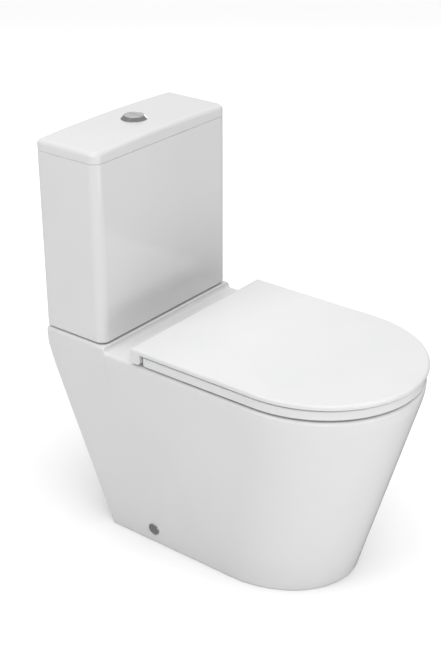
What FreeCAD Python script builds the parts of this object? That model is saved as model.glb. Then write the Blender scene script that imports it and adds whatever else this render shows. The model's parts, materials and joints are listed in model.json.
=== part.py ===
import FreeCAD, Part
import math
import os
import re
import Sketcher
from FreeCAD import Placement, Rotation, Vector

# Close coupled toilet, millimetres.
# Frame: +Z up, floor at z = 0, wall at +Y, front of the seat at -Y, origin below the middle of the box.

SIZES = {
    # whole object, measured from the wall where a word says back, depth or reach
    "total_length": 667.0,
    "rim_height": 397.0,
    "fit_clearance": 0.05,
    "body_gap": 0.3,
    # pan
    "plinth_rise": 10.0,
    "plinth_depth": 139.0,
    "pan_rear_width": 358.0,
    "pan_rim_width": 368.8,
    "pan_rim_setback": 3.7,
    "pan_blend": 30.0,
    "base_width": 271.0,
    "base_back": 105.5,
    "base_reach": 555.0,
    "oval_start": 470.0,
    "base_oval_start": 392.0,
    "slant_top": 365.0,
    "pan_wall": 12.0,
    "deck_thickness": 14.0,
    # bowl and waterway
    "bowl_centre": 440.0,
    "bowl_half_width": 130.0,
    "bowl_half_length": 175.0,
    "bowl_wall": 10.0,
    "bowl_squeeze": 1.15,
    "bowl_lean": 2.2,
    "sump_centre": 362.0,
    "sump_level": 102.0,
    "sump_half_width": 34.0,
    "sump_half_length": 40.0,
    "trap_bore": 38.0,
    "trap_wall": 9.0,
    "trap_bend": 50.0,
    "trap_low": 140.0,
    "trap_start": 350.0,
    "trap_foot": 300.0,
    "weir_depth": 212.0,
    "weir_level": 312.0,
    "outlet_height": 180.0,
    "outlet_radius": 51.0,
    "outlet_spigot": 30.0,
    "outlet_turn": 128.0,
    "outlet_end": 70.0,
    "recess_radius": 50.0,
    "recess_depth": 24.0,
    "passage_radius": 30.0,
    "duct_width": 80.0,
    "duct_drop": 22.0,
    "duct_wall": 10.0,
    "duct_overlap": 14.0,
    # cistern
    "cistern_width": 355.0,
    "cistern_depth": 138.0,
    "cistern_height": 334.0,
    "cistern_wall": 9.0,
    "cistern_floor": 12.0,
    "cistern_front_corner": 18.0,
    "cistern_rear_corner": 8.0,
    "cistern_foot_round": 4.0,
    "pad_thickness": 2.0,
    "pad_width": 26.0,
    "pad_inset": 10.0,
    "tank_lid_edge": 20.0,
    "tank_lid_crown": 4.5,
    "tank_lid_round": 7.0,
    "tank_lid_skin": 11.0,
    "tank_lid_margin": 12.0,
    "tank_lid_lip": 8.0,
    "tank_lid_lip_wall": 5.0,
    "tank_lid_play": 1.5,
    # fixings between cistern and pan
    "valve_depth": 69.0,
    "bolt_spacing": 150.0,
    "bolt_radius": 4.0,
    "bolt_head_radius": 8.0,
    "bolt_head_height": 5.0,
    "bolt_tail": 34.0,
    "cone_radius": 12.0,
    "cone_height": 8.0,
    "bolt_hole": 6.0,
    "washer_radius": 12.0,
    "washer_thickness": 2.0,
    "wing_hub": 8.0,
    "wing_height": 9.0,
    "wing_span": 34.0,
    "wing_thickness": 3.0,
    # push button
    "button_radius": 24.0,
    "button_rise": 6.5,
    "button_face": 17.2,
    "button_play": 0.3,
    "button_split": 4.0,
    "button_depth": 24.0,
    "button_travel": 6.0,
    "sleeve_wall": 2.0,
    "sleeve_length": 32.0,
    "button_nut_radius": 27.0,
    "button_nut_height": 8.0,
    "rod_radius": 2.5,
    "rod_reach": 12.0,
    "rod_lane": 7.0,
    "rod_socket": 10.0,
    # flush valve
    "tail_radius": 29.5,
    "tail_bore": 25.0,
    "tail_drop": 22.0,
    "floor_hole": 32.0,
    "flange_radius": 42.0,
    "flange_thickness": 5.0,
    "seal_thickness": 3.0,
    "seat_lip": 3.0,
    "seat_lip_wall": 2.5,
    "backnut_radius": 40.0,
    "backnut_height": 10.0,
    "gasket_radius": 48.0,
    "gasket_gap": 0.5,
    "cage_wall": 3.0,
    "cage_height": 46.0,
    "cage_window": 34.0,
    "cage_plate": 4.0,
    "window_sill": 6.0,
    "tower_bore": 31.0,
    "tower_height": 161.0,
    "tube_radius": 12.0,
    "tube_bore": 10.0,
    "tube_play": 1.5,
    "tube_top_gap": 18.0,
    "collar_height": 3.0,
    "hook_width": 6.0,
    "hook_height": 3.0,
    "hook_reach": 8.0,
    "hook_drop": 10.0,
    "strip_thickness": 2.0,
    "strip_offset": 26.0,
    "disc_radius": 28.0,
    "disc_thickness": 3.0,
    "pivot_height": 11.0,
    "pivot_radius": 2.0,
    "pivot_margin": 2.0,
    "rocker_hub": 5.0,
    "rocker_bar": 4.0,
    "rocker_width": 8.0,
    "rocker_push": 15.0,
    "rocker_lift": 24.0,
    "rocker_trip": 18.0,
    "foot_gap": 1.5,
    "post_wall": 3.0,
    # fill valve
    "fill_offset": 110.0,
    "thread_radius": 10.48,
    "thread_length": 32.0,
    "shank_radius": 10.0,
    "thread_drop": 44.0,
    "fill_hole": 11.0,
    "fill_clearance_hole": 25.0,
    "fill_flange": 18.0,
    "fill_nut_radius": 16.0,
    "fill_nut_height": 12.0,
    "stem_radius": 9.0,
    "stem_height": 225.0,
    "head_radius": 16.0,
    "head_height": 36.0,
    "float_radius": 28.0,
    "float_height": 60.0,
    "float_top": 232.0,
    "float_rod": 2.5,
    "float_arm": 32.0,
    "float_travel": 15.0,
    "lever_thickness": 4.0,
    "lever_width": 10.0,
    "lever_pivot_offset": 10.0,
    "lever_pivot_height": 16.0,
    "lever_tail": 5.0,
    "ear_length": 6.0,
    "ear_gap": 0.5,
    "float_gap": 15.0,
    "float_rod_root": 20.0,
    # seat
    "seat_width": 369.4,
    "lid_back": 207.0,
    "lid_thickness": 10.0,
    "lid_round": 4.0,
    "seat_gap": 2.6,
    "ring_back": 233.0,
    "ring_inset": 2.2,
    "ring_thickness": 16.8,
    "ring_rise": 4.4,
    "ring_round": 5.0,
    "ring_hole_centre": 430.0,
    "ring_hole_half_width": 108.0,
    "ring_hole_half_length": 150.0,
    "hinge_depth": 218.0,
    "hinge_height": 16.0,
    "hinge_spacing": 155.0,
    "post_width": 31.0,
    "post_half_depth": 5.5,
    "barrel_radius": 7.0,
    "post_foot_radius": 14.0,
    "post_foot_height": 2.0,
    "knuckle_radius": 7.3,
    "knuckle_start": 95.0,
    "knuckle_end": 148.0,
    "block_start": 150.0,
    "block_front": 10.0,
    "block_lift": 5.0,
    "block_round": 6.0,
    "hinge_pin_radius": 3.0,
    "hinge_pin_inner": 68.0,
    "hinge_pin_outer": 176.0,
    "stud_radius": 4.0,
    "stud_length": 58.0,
    "stud_top": 9.0,
    "buffer_radius": 9.0,
    "ring_buffer_back": 330.0,
    "ring_buffer_front": 530.0,
    "ring_buffer_back_offset": 38.0,
    "ring_buffer_front_offset": 20.0,
    "lid_buffer_reach": 520.0,
    "lid_buffer_offset": 25.0,
    # floor fixing
    "side_screw_depth": 212.0,
    "side_screw_height": 32.0,
    "side_screw_radius": 3.0,
    "side_screw_length": 40.0,
    "side_hole_radius": 3.5,
    "cap_radius": 12.0,
    "cap_thickness": 2.5,
    "cap_gap": 0.2,
    "bracket_width": 35.0,
    "bracket_height": 50.0,
    "bracket_thickness": 6.0,
    "bracket_foot": 30.0,
    "bracket_face": 119.0,
    "floor_hole_radius": 4.2,
    "floor_hole_spacing": 204.0,
}

# Places worked out from the sizes above.
PLACES = {
    "wall": "total_length / 2",
    "plinth_top": "rim_height + plinth_rise",
    "deck_underside": "rim_height - deck_thickness",
    "tank_bottom": "plinth_top + pad_thickness",
    "tank_floor_top": "tank_bottom + cistern_floor",
    "tank_top": "tank_bottom + cistern_height",
    "tank_lid_top": "tank_top + tank_lid_edge + tank_lid_crown",
    "tank_lid_underside": "tank_lid_top - tank_lid_skin",
    "button_top": "tank_lid_top + button_rise",
    "sleeve_bore": "button_face + button_play",
    "sleeve_radius": "sleeve_bore + sleeve_wall",
    "valve_y": "wall - valve_depth",
    "flange_bottom": "tank_floor_top + seal_thickness",
    "flange_top": "flange_bottom + flange_thickness",
    "disc_bottom": "flange_top + seat_lip + body_gap",
    "cage_top": "flange_top + cage_height",
    "tower_top": "cage_top + cage_plate + tower_height",
    "pivot_level": "tower_top + cage_plate + pivot_height",
    "rod_foot": "pivot_level + rocker_bar / 2 + foot_gap",
    "tube_top": "tower_top - tube_top_gap",
    "fill_flange_top": "flange_bottom + flange_thickness",
    "stem_top": "fill_flange_top + stem_height",
    "float_level": "fill_flange_top + float_top",
    "lever_level": "stem_top + head_height + lever_pivot_height",
    "hinge_level": "rim_height + hinge_height",
    "hinge_y": "wall - hinge_depth",
    "ring_bottom": "rim_height + ring_rise",
    "ring_top": "ring_bottom + ring_thickness",
    "lid_bottom": "ring_top + seat_gap",
    "lid_top": "lid_bottom + lid_thickness",
    "side_screw_y": "wall - side_screw_depth",
}

doc = FreeCAD.newDocument("toilet")
dims = doc.addObject("Spreadsheet::Sheet", "dims")
for row, (alias, number) in enumerate(SIZES.items(), start=1):
    dims.set("A%d" % row, alias)
    dims.set("B%d" % row, str(number))
    dims.setAlias("B%d" % row, alias)
doc.recompute()

nodes = []


def expand(text):
    """Turn words for sizes and places into an expression on the sheet's cells."""
    def swap(match):
        word = match.group(0)
        if word in PLACES:
            return "(" + expand(PLACES[word]) + ")"
        if word in SIZES:
            return "dims." + word
        return word
    return re.sub(r"[a-z][a-z_]*", swap, str(text))


def size(text):
    return float(dims.evalExpression(expand(text)))


def bind(thing, **expressions):
    for prop, text in expressions.items():
        thing.setExpression(prop, expand(text))


def put(thing, x="0", y="0", z="0"):
    for letter, text in (("x", x), ("y", y), ("z", z)):
        thing.setExpression("Placement.Base." + letter, expand(text))


def node(thing, label):
    thing.Label = label
    nodes.append(thing)
    return thing


def cylinder(radius, height, x="0", y="0", z="0", axis="z"):
    tube = doc.addObject("Part::Cylinder", "cylinder")
    bind(tube, Radius=radius, Height=height)
    if axis == "x":
        tube.Placement = Placement(Vector(0, 0, 0), Rotation(Vector(0, 1, 0), 90))
    if axis == "y":
        tube.Placement = Placement(Vector(0, 0, 0), Rotation(Vector(1, 0, 0), -90))
    put(tube, x, y, z)
    return tube


def box(length, width, height, x="0", y="0", z="0"):
    """A block whose low corner is at x, y, z."""
    block = doc.addObject("Part::Box", "box")
    bind(block, Length=length, Width=width, Height=height)
    put(block, x, y, z)
    return block


def fuse(pieces):
    if len(pieces) == 1:
        return pieces[0]
    joined = doc.addObject("Part::MultiFuse", "fuse")
    joined.Shapes = pieces
    return joined


def cut(base, tools):
    result = doc.addObject("Part::Cut", "cut")
    result.Base = base
    result.Tool = fuse(tools)
    return result


def common(first, second):
    result = doc.addObject("Part::MultiCommon", "common")
    result.Shapes = [first, second]
    return result


def shaped(shape, label):
    """A sub-part whose shape comes from Part's own functions."""
    feature = doc.addObject("Part::Feature", label)
    feature.Shape = shape
    return node(feature, label)


def origin_plane(body, role):
    for feature in body.Origin.OriginFeatures:
        if feature.Role == role:
            return feature


def outline(body, role, points):
    """A closed sketch of straight sides, each corner tied to the sheet."""
    sketch = body.newObject("Sketcher::SketchObject", body.Name + "_sketch")
    sketch.AttachmentSupport = [(origin_plane(body, role), "")]
    sketch.MapMode = "FlatFace"
    corners = [Vector(size(across), size(along), 0) for across, along in points]
    count = len(corners)
    for index in range(count):
        sketch.addGeometry(Part.LineSegment(corners[index], corners[(index + 1) % count]), False)
    for index in range(count):
        following = (index + 1) % count
        sketch.addConstraint(Sketcher.Constraint("Coincident", index, 2, following, 1))
    for index, pair in enumerate(points):
        for kind, text in zip(("DistanceX", "DistanceY"), pair):
            number = sketch.addConstraint(Sketcher.Constraint(kind, -1, 1, index, 1, size(text)))
            sketch.setExpression("Constraints[%d]" % number, expand(text))
    return sketch


def turned(name, points, x="0", y="0", z="0"):
    """A piece turned about its own upright axis from (radius, height) corners."""
    body = doc.addObject("PartDesign::Body", name)
    sketch = outline(body, "XZ_Plane", points)
    revolution = body.newObject("PartDesign::Revolution", name + "_turn")
    revolution.Profile = sketch
    revolution.ReferenceAxis = (sketch, ["V_Axis"])
    revolution.Angle = 360
    put(body, x, y, z)
    return body


def padded(name, role, points, length, x="0", y="0", z="0", midplane=False):
    """A plate of even thickness from the corners of its outline."""
    body = doc.addObject("PartDesign::Body", name)
    sketch = outline(body, role, points)
    pad = body.newObject("PartDesign::Pad", name + "_pad")
    pad.Profile = sketch
    pad.Midplane = midplane
    bind(pad, Length=length)
    put(body, x, y, z)
    return body


def edge_names(shape, wanted):
    return ["Edge%d" % (number + 1) for number, edge in enumerate(shape.Edges) if wanted(edge)]


def upright(edge):
    low, high = edge.BoundBox.ZMin, edge.BoundBox.ZMax
    return high - low > 1 and edge.BoundBox.XLength < 0.001 and edge.BoundBox.YLength < 0.001


def rounded(body, wanted, radius):
    """A fillet on the edges of a body's tip that a test picks out."""
    doc.recompute()
    base = body.Tip
    fillet = body.newObject("PartDesign::Fillet", body.Name + "_round")
    fillet.Base = (base, edge_names(base.Shape, wanted))
    bind(fillet, Radius=radius)
    doc.recompute()
    return fillet


def rounded_block(name, half_width, back, front, height, rear_corner, front_corner, z):
    """A block with upright corners rounded; back and front are distances from the wall."""
    points = [("-(%s)" % half_width, "wall - (%s)" % front), (half_width, "wall - (%s)" % front),
              (half_width, "wall - (%s)" % back), ("-(%s)" % half_width, "wall - (%s)" % back)]
    body = padded(name, "XY_Plane", points, height, z=z)
    middle = size("wall - ((%s) + (%s)) / 2" % (front, back))
    rounded(body, lambda edge: upright(edge) and edge.BoundBox.YMin < middle, front_corner)
    rounded(body, lambda edge: upright(edge) and edge.BoundBox.YMin > middle, rear_corner)
    return body


def tangent_path(points, radius):
    """Straight runs joined by tangent arcs through a list of points."""
    edges = []
    start = points[0]
    for before, corner, after in zip(points, points[1:], points[2:]):
        inward = (before - corner).normalize()
        outward = (after - corner).normalize()
        half_turn = (math.pi - inward.getAngle(outward)) / 2
        reach = radius * math.tan(half_turn)
        first = corner + inward * reach
        last = corner + outward * reach
        middle_way = (inward + outward).normalize()
        middle = corner + middle_way * (radius / math.cos(half_turn) - radius)
        edges.append(Part.LineSegment(start, first).toShape())
        edges.append(Part.Arc(first, middle, last).toShape())
        start = last
    edges.append(Part.LineSegment(start, points[-1]).toShape())
    return Part.Wire(edges)


def tube_along(path, start, direction, radius):
    circle = Part.Wire([Part.makeCircle(radius, start, direction)])
    return path.makePipeShell([circle], True, False)


def oval_plan(rear_half, half, back, middle, reach, level):
    """Straight back, straight sides and a half oval front, as a wire at one level."""
    wall = size("wall")
    rear_y, middle_y = wall - back, wall - middle
    depth = reach - middle
    oval = Part.Ellipse(Vector(0, middle_y - depth, level), Vector(half, middle_y, level),
                        Vector(0, middle_y, level))
    rear_left, rear_right = Vector(-rear_half, rear_y, level), Vector(rear_half, rear_y, level)
    left, right = Vector(-half, middle_y, level), Vector(half, middle_y, level)
    edges = [Part.LineSegment(rear_left, left).toShape(),
             Part.ArcOfEllipse(oval, -math.pi / 2, 0).toShape(),
             Part.ArcOfEllipse(oval, 0, math.pi / 2).toShape(),
             Part.LineSegment(right, rear_right).toShape(),
             Part.LineSegment(rear_right, rear_left).toShape()]
    return Part.Wire(edges)


def ellipse_wire(half_width, half_length, middle, level):
    centre = Vector(0, size("wall") - middle, level)
    oval = Part.Ellipse(centre + Vector(0, -half_length, 0), centre + Vector(half_width, 0, 0), centre)
    return Part.Wire([oval.toShape()])


def pan_plan(level, inset, back):
    """The pan's outline at one level: a straight taper that turns upright below the rim."""
    rim, blend = size("rim_height"), size("pan_blend")
    bend = rim - blend
    climb = min(level, bend)
    above = min(max(level - bend, 0), blend)
    share = (climb + above - above * above / (2 * blend)) / (bend + blend / 2)
    reach_top = size("total_length - pan_rim_setback")

    def between(low, high):
        return low + (high - low) * share

    base_half = size("base_width / 2")
    rear_half = between(base_half, size("pan_rear_width / 2")) - inset
    half = between(base_half, size("pan_rim_width / 2")) - inset
    middle = between(size("base_oval_start"), size("oval_start"))
    reach = between(size("base_reach"), reach_top) - inset
    return oval_plan(rear_half, half, back, middle, reach, level)


def make_pan():
    wall, rim, top = size("wall"), size("rim_height"), size("plinth_top")
    bend, under = size("rim_height - pan_blend"), size("deck_underside")
    levels = [0, bend, rim - size("pan_blend") * 0.6, rim - size("pan_blend") * 0.3, rim, top]
    shell = Part.makeLoft([pan_plan(level, 0, 0) for level in levels], True, True)
    over = size("total_length")
    above_deck = Vector(-over / 2, wall - size("plinth_depth") - over, rim)
    shell = shell.cut(Part.makeBox(over, over, top, above_deck))
    back, lean = size("base_back"), size("slant_top")
    wedge = Part.Face(Part.makePolygon([Vector(-over, wall - back, 0), Vector(-over, wall, lean),
                                        Vector(-over, wall + 50, lean), Vector(-over, wall + 50, -10),
                                        Vector(-over, wall - back, -10), Vector(-over, wall - back, 0)]))
    shell = shell.cut(wedge.extrude(Vector(2 * over, 0, 0)))
    inset = size("pan_wall")
    hollow_levels = [-1, bend, under]
    hollow = Part.makeLoft([pan_plan(level, inset, -20) for level in hollow_levels], True, True)
    shell = shell.cut(hollow)

    # bowl: ovals that shrink and move back from the opening down to the sump
    steps = 7
    outer, inner = [], []
    thick = size("bowl_wall")
    for step in range(steps + 1):
        drop = step / steps
        squeeze = (3 * drop ** 2 - 2 * drop ** 3) ** size("bowl_squeeze")
        level = rim + (size("sump_level") - rim) * drop
        middle = size("bowl_centre") + size("sump_centre - bowl_centre") * drop ** size("bowl_lean")
        half = size("bowl_half_width") + size("sump_half_width - bowl_half_width") * squeeze
        length = size("bowl_half_length") + size("sump_half_length - bowl_half_length") * squeeze
        foot = under if step == 0 else level - thick * drop
        outer.append(ellipse_wire(half + thick, length + thick, middle, foot))
        inner.append(ellipse_wire(half, length, middle, level + 1 if step == 0 else level))
    bowl_outer = Part.makeLoft(outer, True, True)
    bowl_inner = Part.makeLoft(inner, True, True)

    def at(depth, level):
        return Vector(0, wall - depth, level)

    turns = [at(size("trap_start"), size("trap_low")), at(size("trap_foot"), size("trap_low")),
             at(size("weir_depth"), size("weir_level")), at(size("outlet_turn"), size("outlet_height")),
             at(size("outlet_end"), size("outlet_height"))]
    path = tangent_path(turns, size("trap_bend"))
    rearward = Vector(0, 1, 0)
    trap_outer = tube_along(path, turns[0], rearward, size("trap_bore + trap_wall"))
    long_path = tangent_path([turns[0] - rearward * 6] + turns[1:-1] + [turns[-1] + rearward * 6],
                             size("trap_bend"))
    trap_inner = tube_along(long_path, turns[0] - rearward * 6, rearward, size("trap_bore"))
    spigot = Part.makeCylinder(size("outlet_radius"), size("outlet_spigot"), turns[-1], -rearward)

    # waterway from the cistern to the back of the bowl
    depth_of_valve = size("valve_depth")
    recess_floor = top - size("recess_depth")
    wide, drop = size("duct_width"), size("duct_drop")
    skin = size("duct_wall")
    reach = size("bowl_centre - bowl_half_length + duct_overlap")
    ceiling = recess_floor - 4
    duct_outer = Part.makeBox(wide + 2 * skin, reach - depth_of_valve + wide / 2, drop + skin + 10,
                              Vector(-wide / 2 - skin, wall - reach, ceiling - drop - skin))
    duct_inner = Part.makeBox(wide, reach + 4 - depth_of_valve + wide / 2 - skin, drop,
                              Vector(-wide / 2, wall - reach - 4, ceiling - drop))
    recess = Part.makeCylinder(size("recess_radius"), size("recess_depth") + 1,
                               at(depth_of_valve, recess_floor))
    inlet = Part.makeCylinder(size("passage_radius"), 20, at(depth_of_valve, ceiling - 2))
    drill = [bowl_inner, trap_inner, duct_inner, recess, inlet]
    for side in (-1, 1):
        bolt_x = side * size("bolt_spacing / 2")
        hinge_x = side * size("hinge_spacing / 2")
        bolt_hole = size("bolt_hole")
        drill.append(Part.makeCylinder(bolt_hole, 60, Vector(bolt_x, wall - depth_of_valve, top - 50)))
        drill.append(Part.makeCylinder(bolt_hole, 40, Vector(hinge_x, size("hinge_y"), rim - 30)))
        head, outward = side_screw_line(side)
        drill.append(Part.makeCylinder(size("side_hole_radius"), 40, head - outward * 20, outward))
    drill.append(Part.makeCylinder(size("fill_clearance_hole"), 60,
                                   Vector(size("fill_offset"), wall - depth_of_valve, top - 50)))
    # one casting, kept as three pieces that meet face to face
    trap = trap_outer.fuse(spigot)
    shaped(shell.fuse(duct_outer).cut([bowl_outer, trap] + drill), "pan_skirt")
    shaped(bowl_outer.cut(drill), "pan_bowl")
    shaped(trap.cut([bowl_outer] + drill), "pan_trap")


def side_half_width(level, depth):
    """Half the pan's width at a level and a distance from the wall, on its straight side."""
    bend = size("rim_height - pan_blend")
    share = level / (bend + size("pan_blend / 2"))
    base_half = size("base_width / 2")
    rear = base_half + (size("pan_rear_width / 2") - base_half) * share
    side = base_half + (size("pan_rim_width / 2") - base_half) * share
    middle = size("base_oval_start") + size("oval_start - base_oval_start") * share
    return rear + (side - rear) * depth / middle


def side_screw_line(side):
    """Where a side screw meets the pan's leaning side, and the way out square to it."""
    level, depth = size("side_screw_height"), size("side_screw_depth")
    outside = side_half_width(level, depth)
    lean = side_half_width(level + 1, depth) - outside
    return Vector(side * outside, size("side_screw_y"), level), Vector(side, 0, -lean).normalize()


def make_cistern():
    half, inner = "cistern_width / 2", "cistern_width / 2 - cistern_wall"
    body = rounded_block("tank_shell", half, "0", "cistern_depth", "cistern_height", "cistern_rear_corner",
                         "cistern_front_corner", "tank_bottom")
    rounded(body, lambda edge: edge.BoundBox.ZMax < 0.001, "cistern_foot_round")
    cavity = rounded_block("tank_cavity", inner, "cistern_wall", "cistern_depth - cistern_wall",
                           "cistern_height", "cistern_rear_corner / 2",
                           "cistern_front_corner - cistern_wall", "tank_floor_top")
    holes = [cylinder("floor_hole", "cistern_floor * 3", y="valve_y", z="tank_bottom - cistern_floor"),
             cylinder("fill_hole", "cistern_floor * 3", "fill_offset", "valve_y",
                      "tank_bottom - cistern_floor")]
    for sign in ("-", ""):
        holes.append(cylinder("bolt_radius + 1", "cistern_floor * 3", sign + "bolt_spacing / 2", "valve_y",
                              "tank_bottom - cistern_floor"))
    node(cut(body, [cavity] + holes), "cistern_tank")
    pads = [box("pad_width", "cistern_depth - 2 * pad_inset", "pad_thickness", place,
                "wall - cistern_depth + pad_inset", "plinth_top")
            for place in ("-cistern_width / 2 + pad_inset", "cistern_width / 2 - pad_inset - pad_width")]
    node(fuse(pads), "tank_pads")


def make_cistern_lid():
    half = "cistern_width / 2"
    block = rounded_block("lid_block", half, "0", "cistern_depth", "tank_lid_edge + tank_lid_crown",
                          "cistern_rear_corner", "cistern_front_corner", "tank_top")
    crown_radius = "((cistern_width / 2) ^ 2 + tank_lid_crown ^ 2) / (2 * tank_lid_crown)"
    drum = cylinder(crown_radius, "cistern_depth * 2", y="wall - cistern_depth * 1.5",
                    z="tank_lid_top - (%s)" % crown_radius, axis="y")
    crowned = common(block, drum)
    doc.recompute()
    rounding = doc.addObject("Part::Fillet", "lid_round")
    rounding.Base = crowned
    middle = size("tank_top + tank_lid_edge / 2")
    radius = size("tank_lid_round")
    rounding.Edges = [(number + 1, radius, radius) for number, edge in enumerate(crowned.Shape.Edges)
                      if edge.BoundBox.ZMin > middle]
    under = rounded_block("lid_hollow", "cistern_width / 2 - tank_lid_margin", "tank_lid_margin",
                          "cistern_depth - tank_lid_margin",
                          "tank_lid_edge + tank_lid_crown - tank_lid_skin", "cistern_rear_corner / 2",
                          "cistern_front_corner / 2", "tank_top")
    hole = cylinder("sleeve_radius + 1", "tank_lid_skin * 3", y="valve_y",
                    z="tank_lid_underside - tank_lid_skin")
    top_part = cut(rounding, [under, hole])
    edge = "cistern_wall + tank_lid_play"
    lip_outer = rounded_block("lip_outer", "cistern_width / 2 - (%s)" % edge, edge,
                              "cistern_depth - (%s)" % edge, "tank_lid_lip + 2", "cistern_rear_corner / 2",
                              "cistern_front_corner / 2", "tank_top - tank_lid_lip")
    inner = edge + " + tank_lid_lip_wall"
    lip_inner = rounded_block("lip_inner", "cistern_width / 2 - (%s)" % inner, inner,
                              "cistern_depth - (%s)" % inner, "tank_lid_lip + 6", "cistern_rear_corner / 4",
                              "cistern_front_corner / 4", "tank_top - tank_lid_lip - 2")
    node(fuse([top_part, cut(lip_outer, [lip_inner])]), "cistern_lid")


def wing_nut(x, y, top, thread):
    """A wing nut that hangs below a level, on a bolt or stud of a given radius."""
    hub = cylinder("wing_hub", "wing_height", x, y, "%s - wing_height" % top)
    wings = box("wing_span", "wing_thickness", "wing_height", "%s - wing_span / 2" % x,
                "%s - wing_thickness / 2" % y, "%s - wing_height" % top)
    bore = cylinder(thread + " + fit_clearance", "wing_height * 3", x, y, "%s - wing_height * 2" % top)
    return cut(fuse([hub, wings]), [bore])


def ring_washer(outer, inner, thickness, x, y, z):
    disc = cylinder(outer, thickness, x, y, z)
    bore = cylinder(inner, "3 * (%s)" % thickness, x, y, "%s - (%s)" % (z, thickness))
    return cut(disc, [bore])


def make_coupling():
    bolts, cones, washers, nuts = [], [], [], []
    head = "tank_floor_top + cone_height"
    for x in ("-bolt_spacing / 2", "bolt_spacing / 2"):
        shank = cylinder("bolt_radius", "cone_height + cistern_floor + pad_thickness + plinth_rise"
                         " + deck_thickness + bolt_tail", x, "valve_y", "deck_underside - bolt_tail")
        bolts.append(fuse([shank, cylinder("bolt_head_radius", "bolt_head_height", x, "valve_y", head)]))
        profile = [("bolt_radius + fit_clearance", "0"), ("cone_radius * 0.75", "0"),
                   ("cone_radius", "cone_height / 2"), ("cone_radius * 0.75", "cone_height"),
                   ("bolt_radius + fit_clearance", "cone_height")]
        cones.append(turned("cone_washer", profile, x, "valve_y", "tank_floor_top"))
        washers.append(ring_washer("washer_radius", "bolt_radius + fit_clearance", "washer_thickness", x,
                                   "valve_y", "deck_underside - washer_thickness"))
        nuts.append(wing_nut(x, "valve_y", "deck_underside - washer_thickness", "bolt_radius"))
    node(fuse(bolts), "coupling_bolts")
    node(fuse(cones), "coupling_cone_washers")
    node(fuse(washers), "coupling_washers")
    node(fuse(nuts), "coupling_wing_nuts")
    gasket = [("tail_radius + gasket_gap", "-recess_depth - pad_thickness + gasket_gap"),
              ("gasket_radius", "-recess_depth - pad_thickness + gasket_gap"),
              ("gasket_radius", "-gasket_gap"), ("backnut_radius + gasket_gap", "-gasket_gap"),
              ("backnut_radius + gasket_gap", "-backnut_height - gasket_gap"),
              ("tail_radius + gasket_gap", "-backnut_height - gasket_gap")]
    node(turned("gasket", gasket, y="valve_y", z="tank_bottom"), "coupling_gasket")


def make_button():
    flange = "-button_rise"
    bezel = [("sleeve_bore", "-sleeve_length"), ("sleeve_radius", "-sleeve_length"),
             ("sleeve_radius", flange), ("button_radius", flange), ("button_radius", flange + " + 1"),
             ("sleeve_bore + 1", "0"), ("sleeve_bore", "-0.6")]
    node(turned("bezel", bezel, y="valve_y", z="button_top"), "button_bezel")
    node(ring_washer("button_nut_radius", "sleeve_radius + fit_clearance", "button_nut_height", "0",
                     "valve_y", "tank_lid_underside - button_nut_height"), "button_nut")
    big = "button_face * 2"
    foot = "button_top - button_depth"
    parts = [("button_full", "push_rod_full", "button_split", "-rod_reach", "valve_y - rod_lane"),
             ("button_half", "push_rod_half", "button_split + 2 * button_play - (%s)" % big, "rod_reach",
              "valve_y + rod_lane")]
    for label, rod_label, cut_start, rod_x, rod_y in parts:
        disc = cylinder("button_face", "button_depth", y="valve_y", z=foot)
        away = box(big, big, "button_depth * 2", cut_start, "valve_y - button_face",
                   foot + " - button_depth / 2")
        socket = cylinder("rod_radius + fit_clearance", "rod_socket * 2", rod_x, rod_y,
                          foot + " - rod_socket")
        node(cut(disc, [away, socket]), label)
        rod_length = foot + " + rod_socket - (rod_foot)"
        node(cylinder("rod_radius", rod_length, rod_x, rod_y, "rod_foot"), rod_label)


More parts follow.
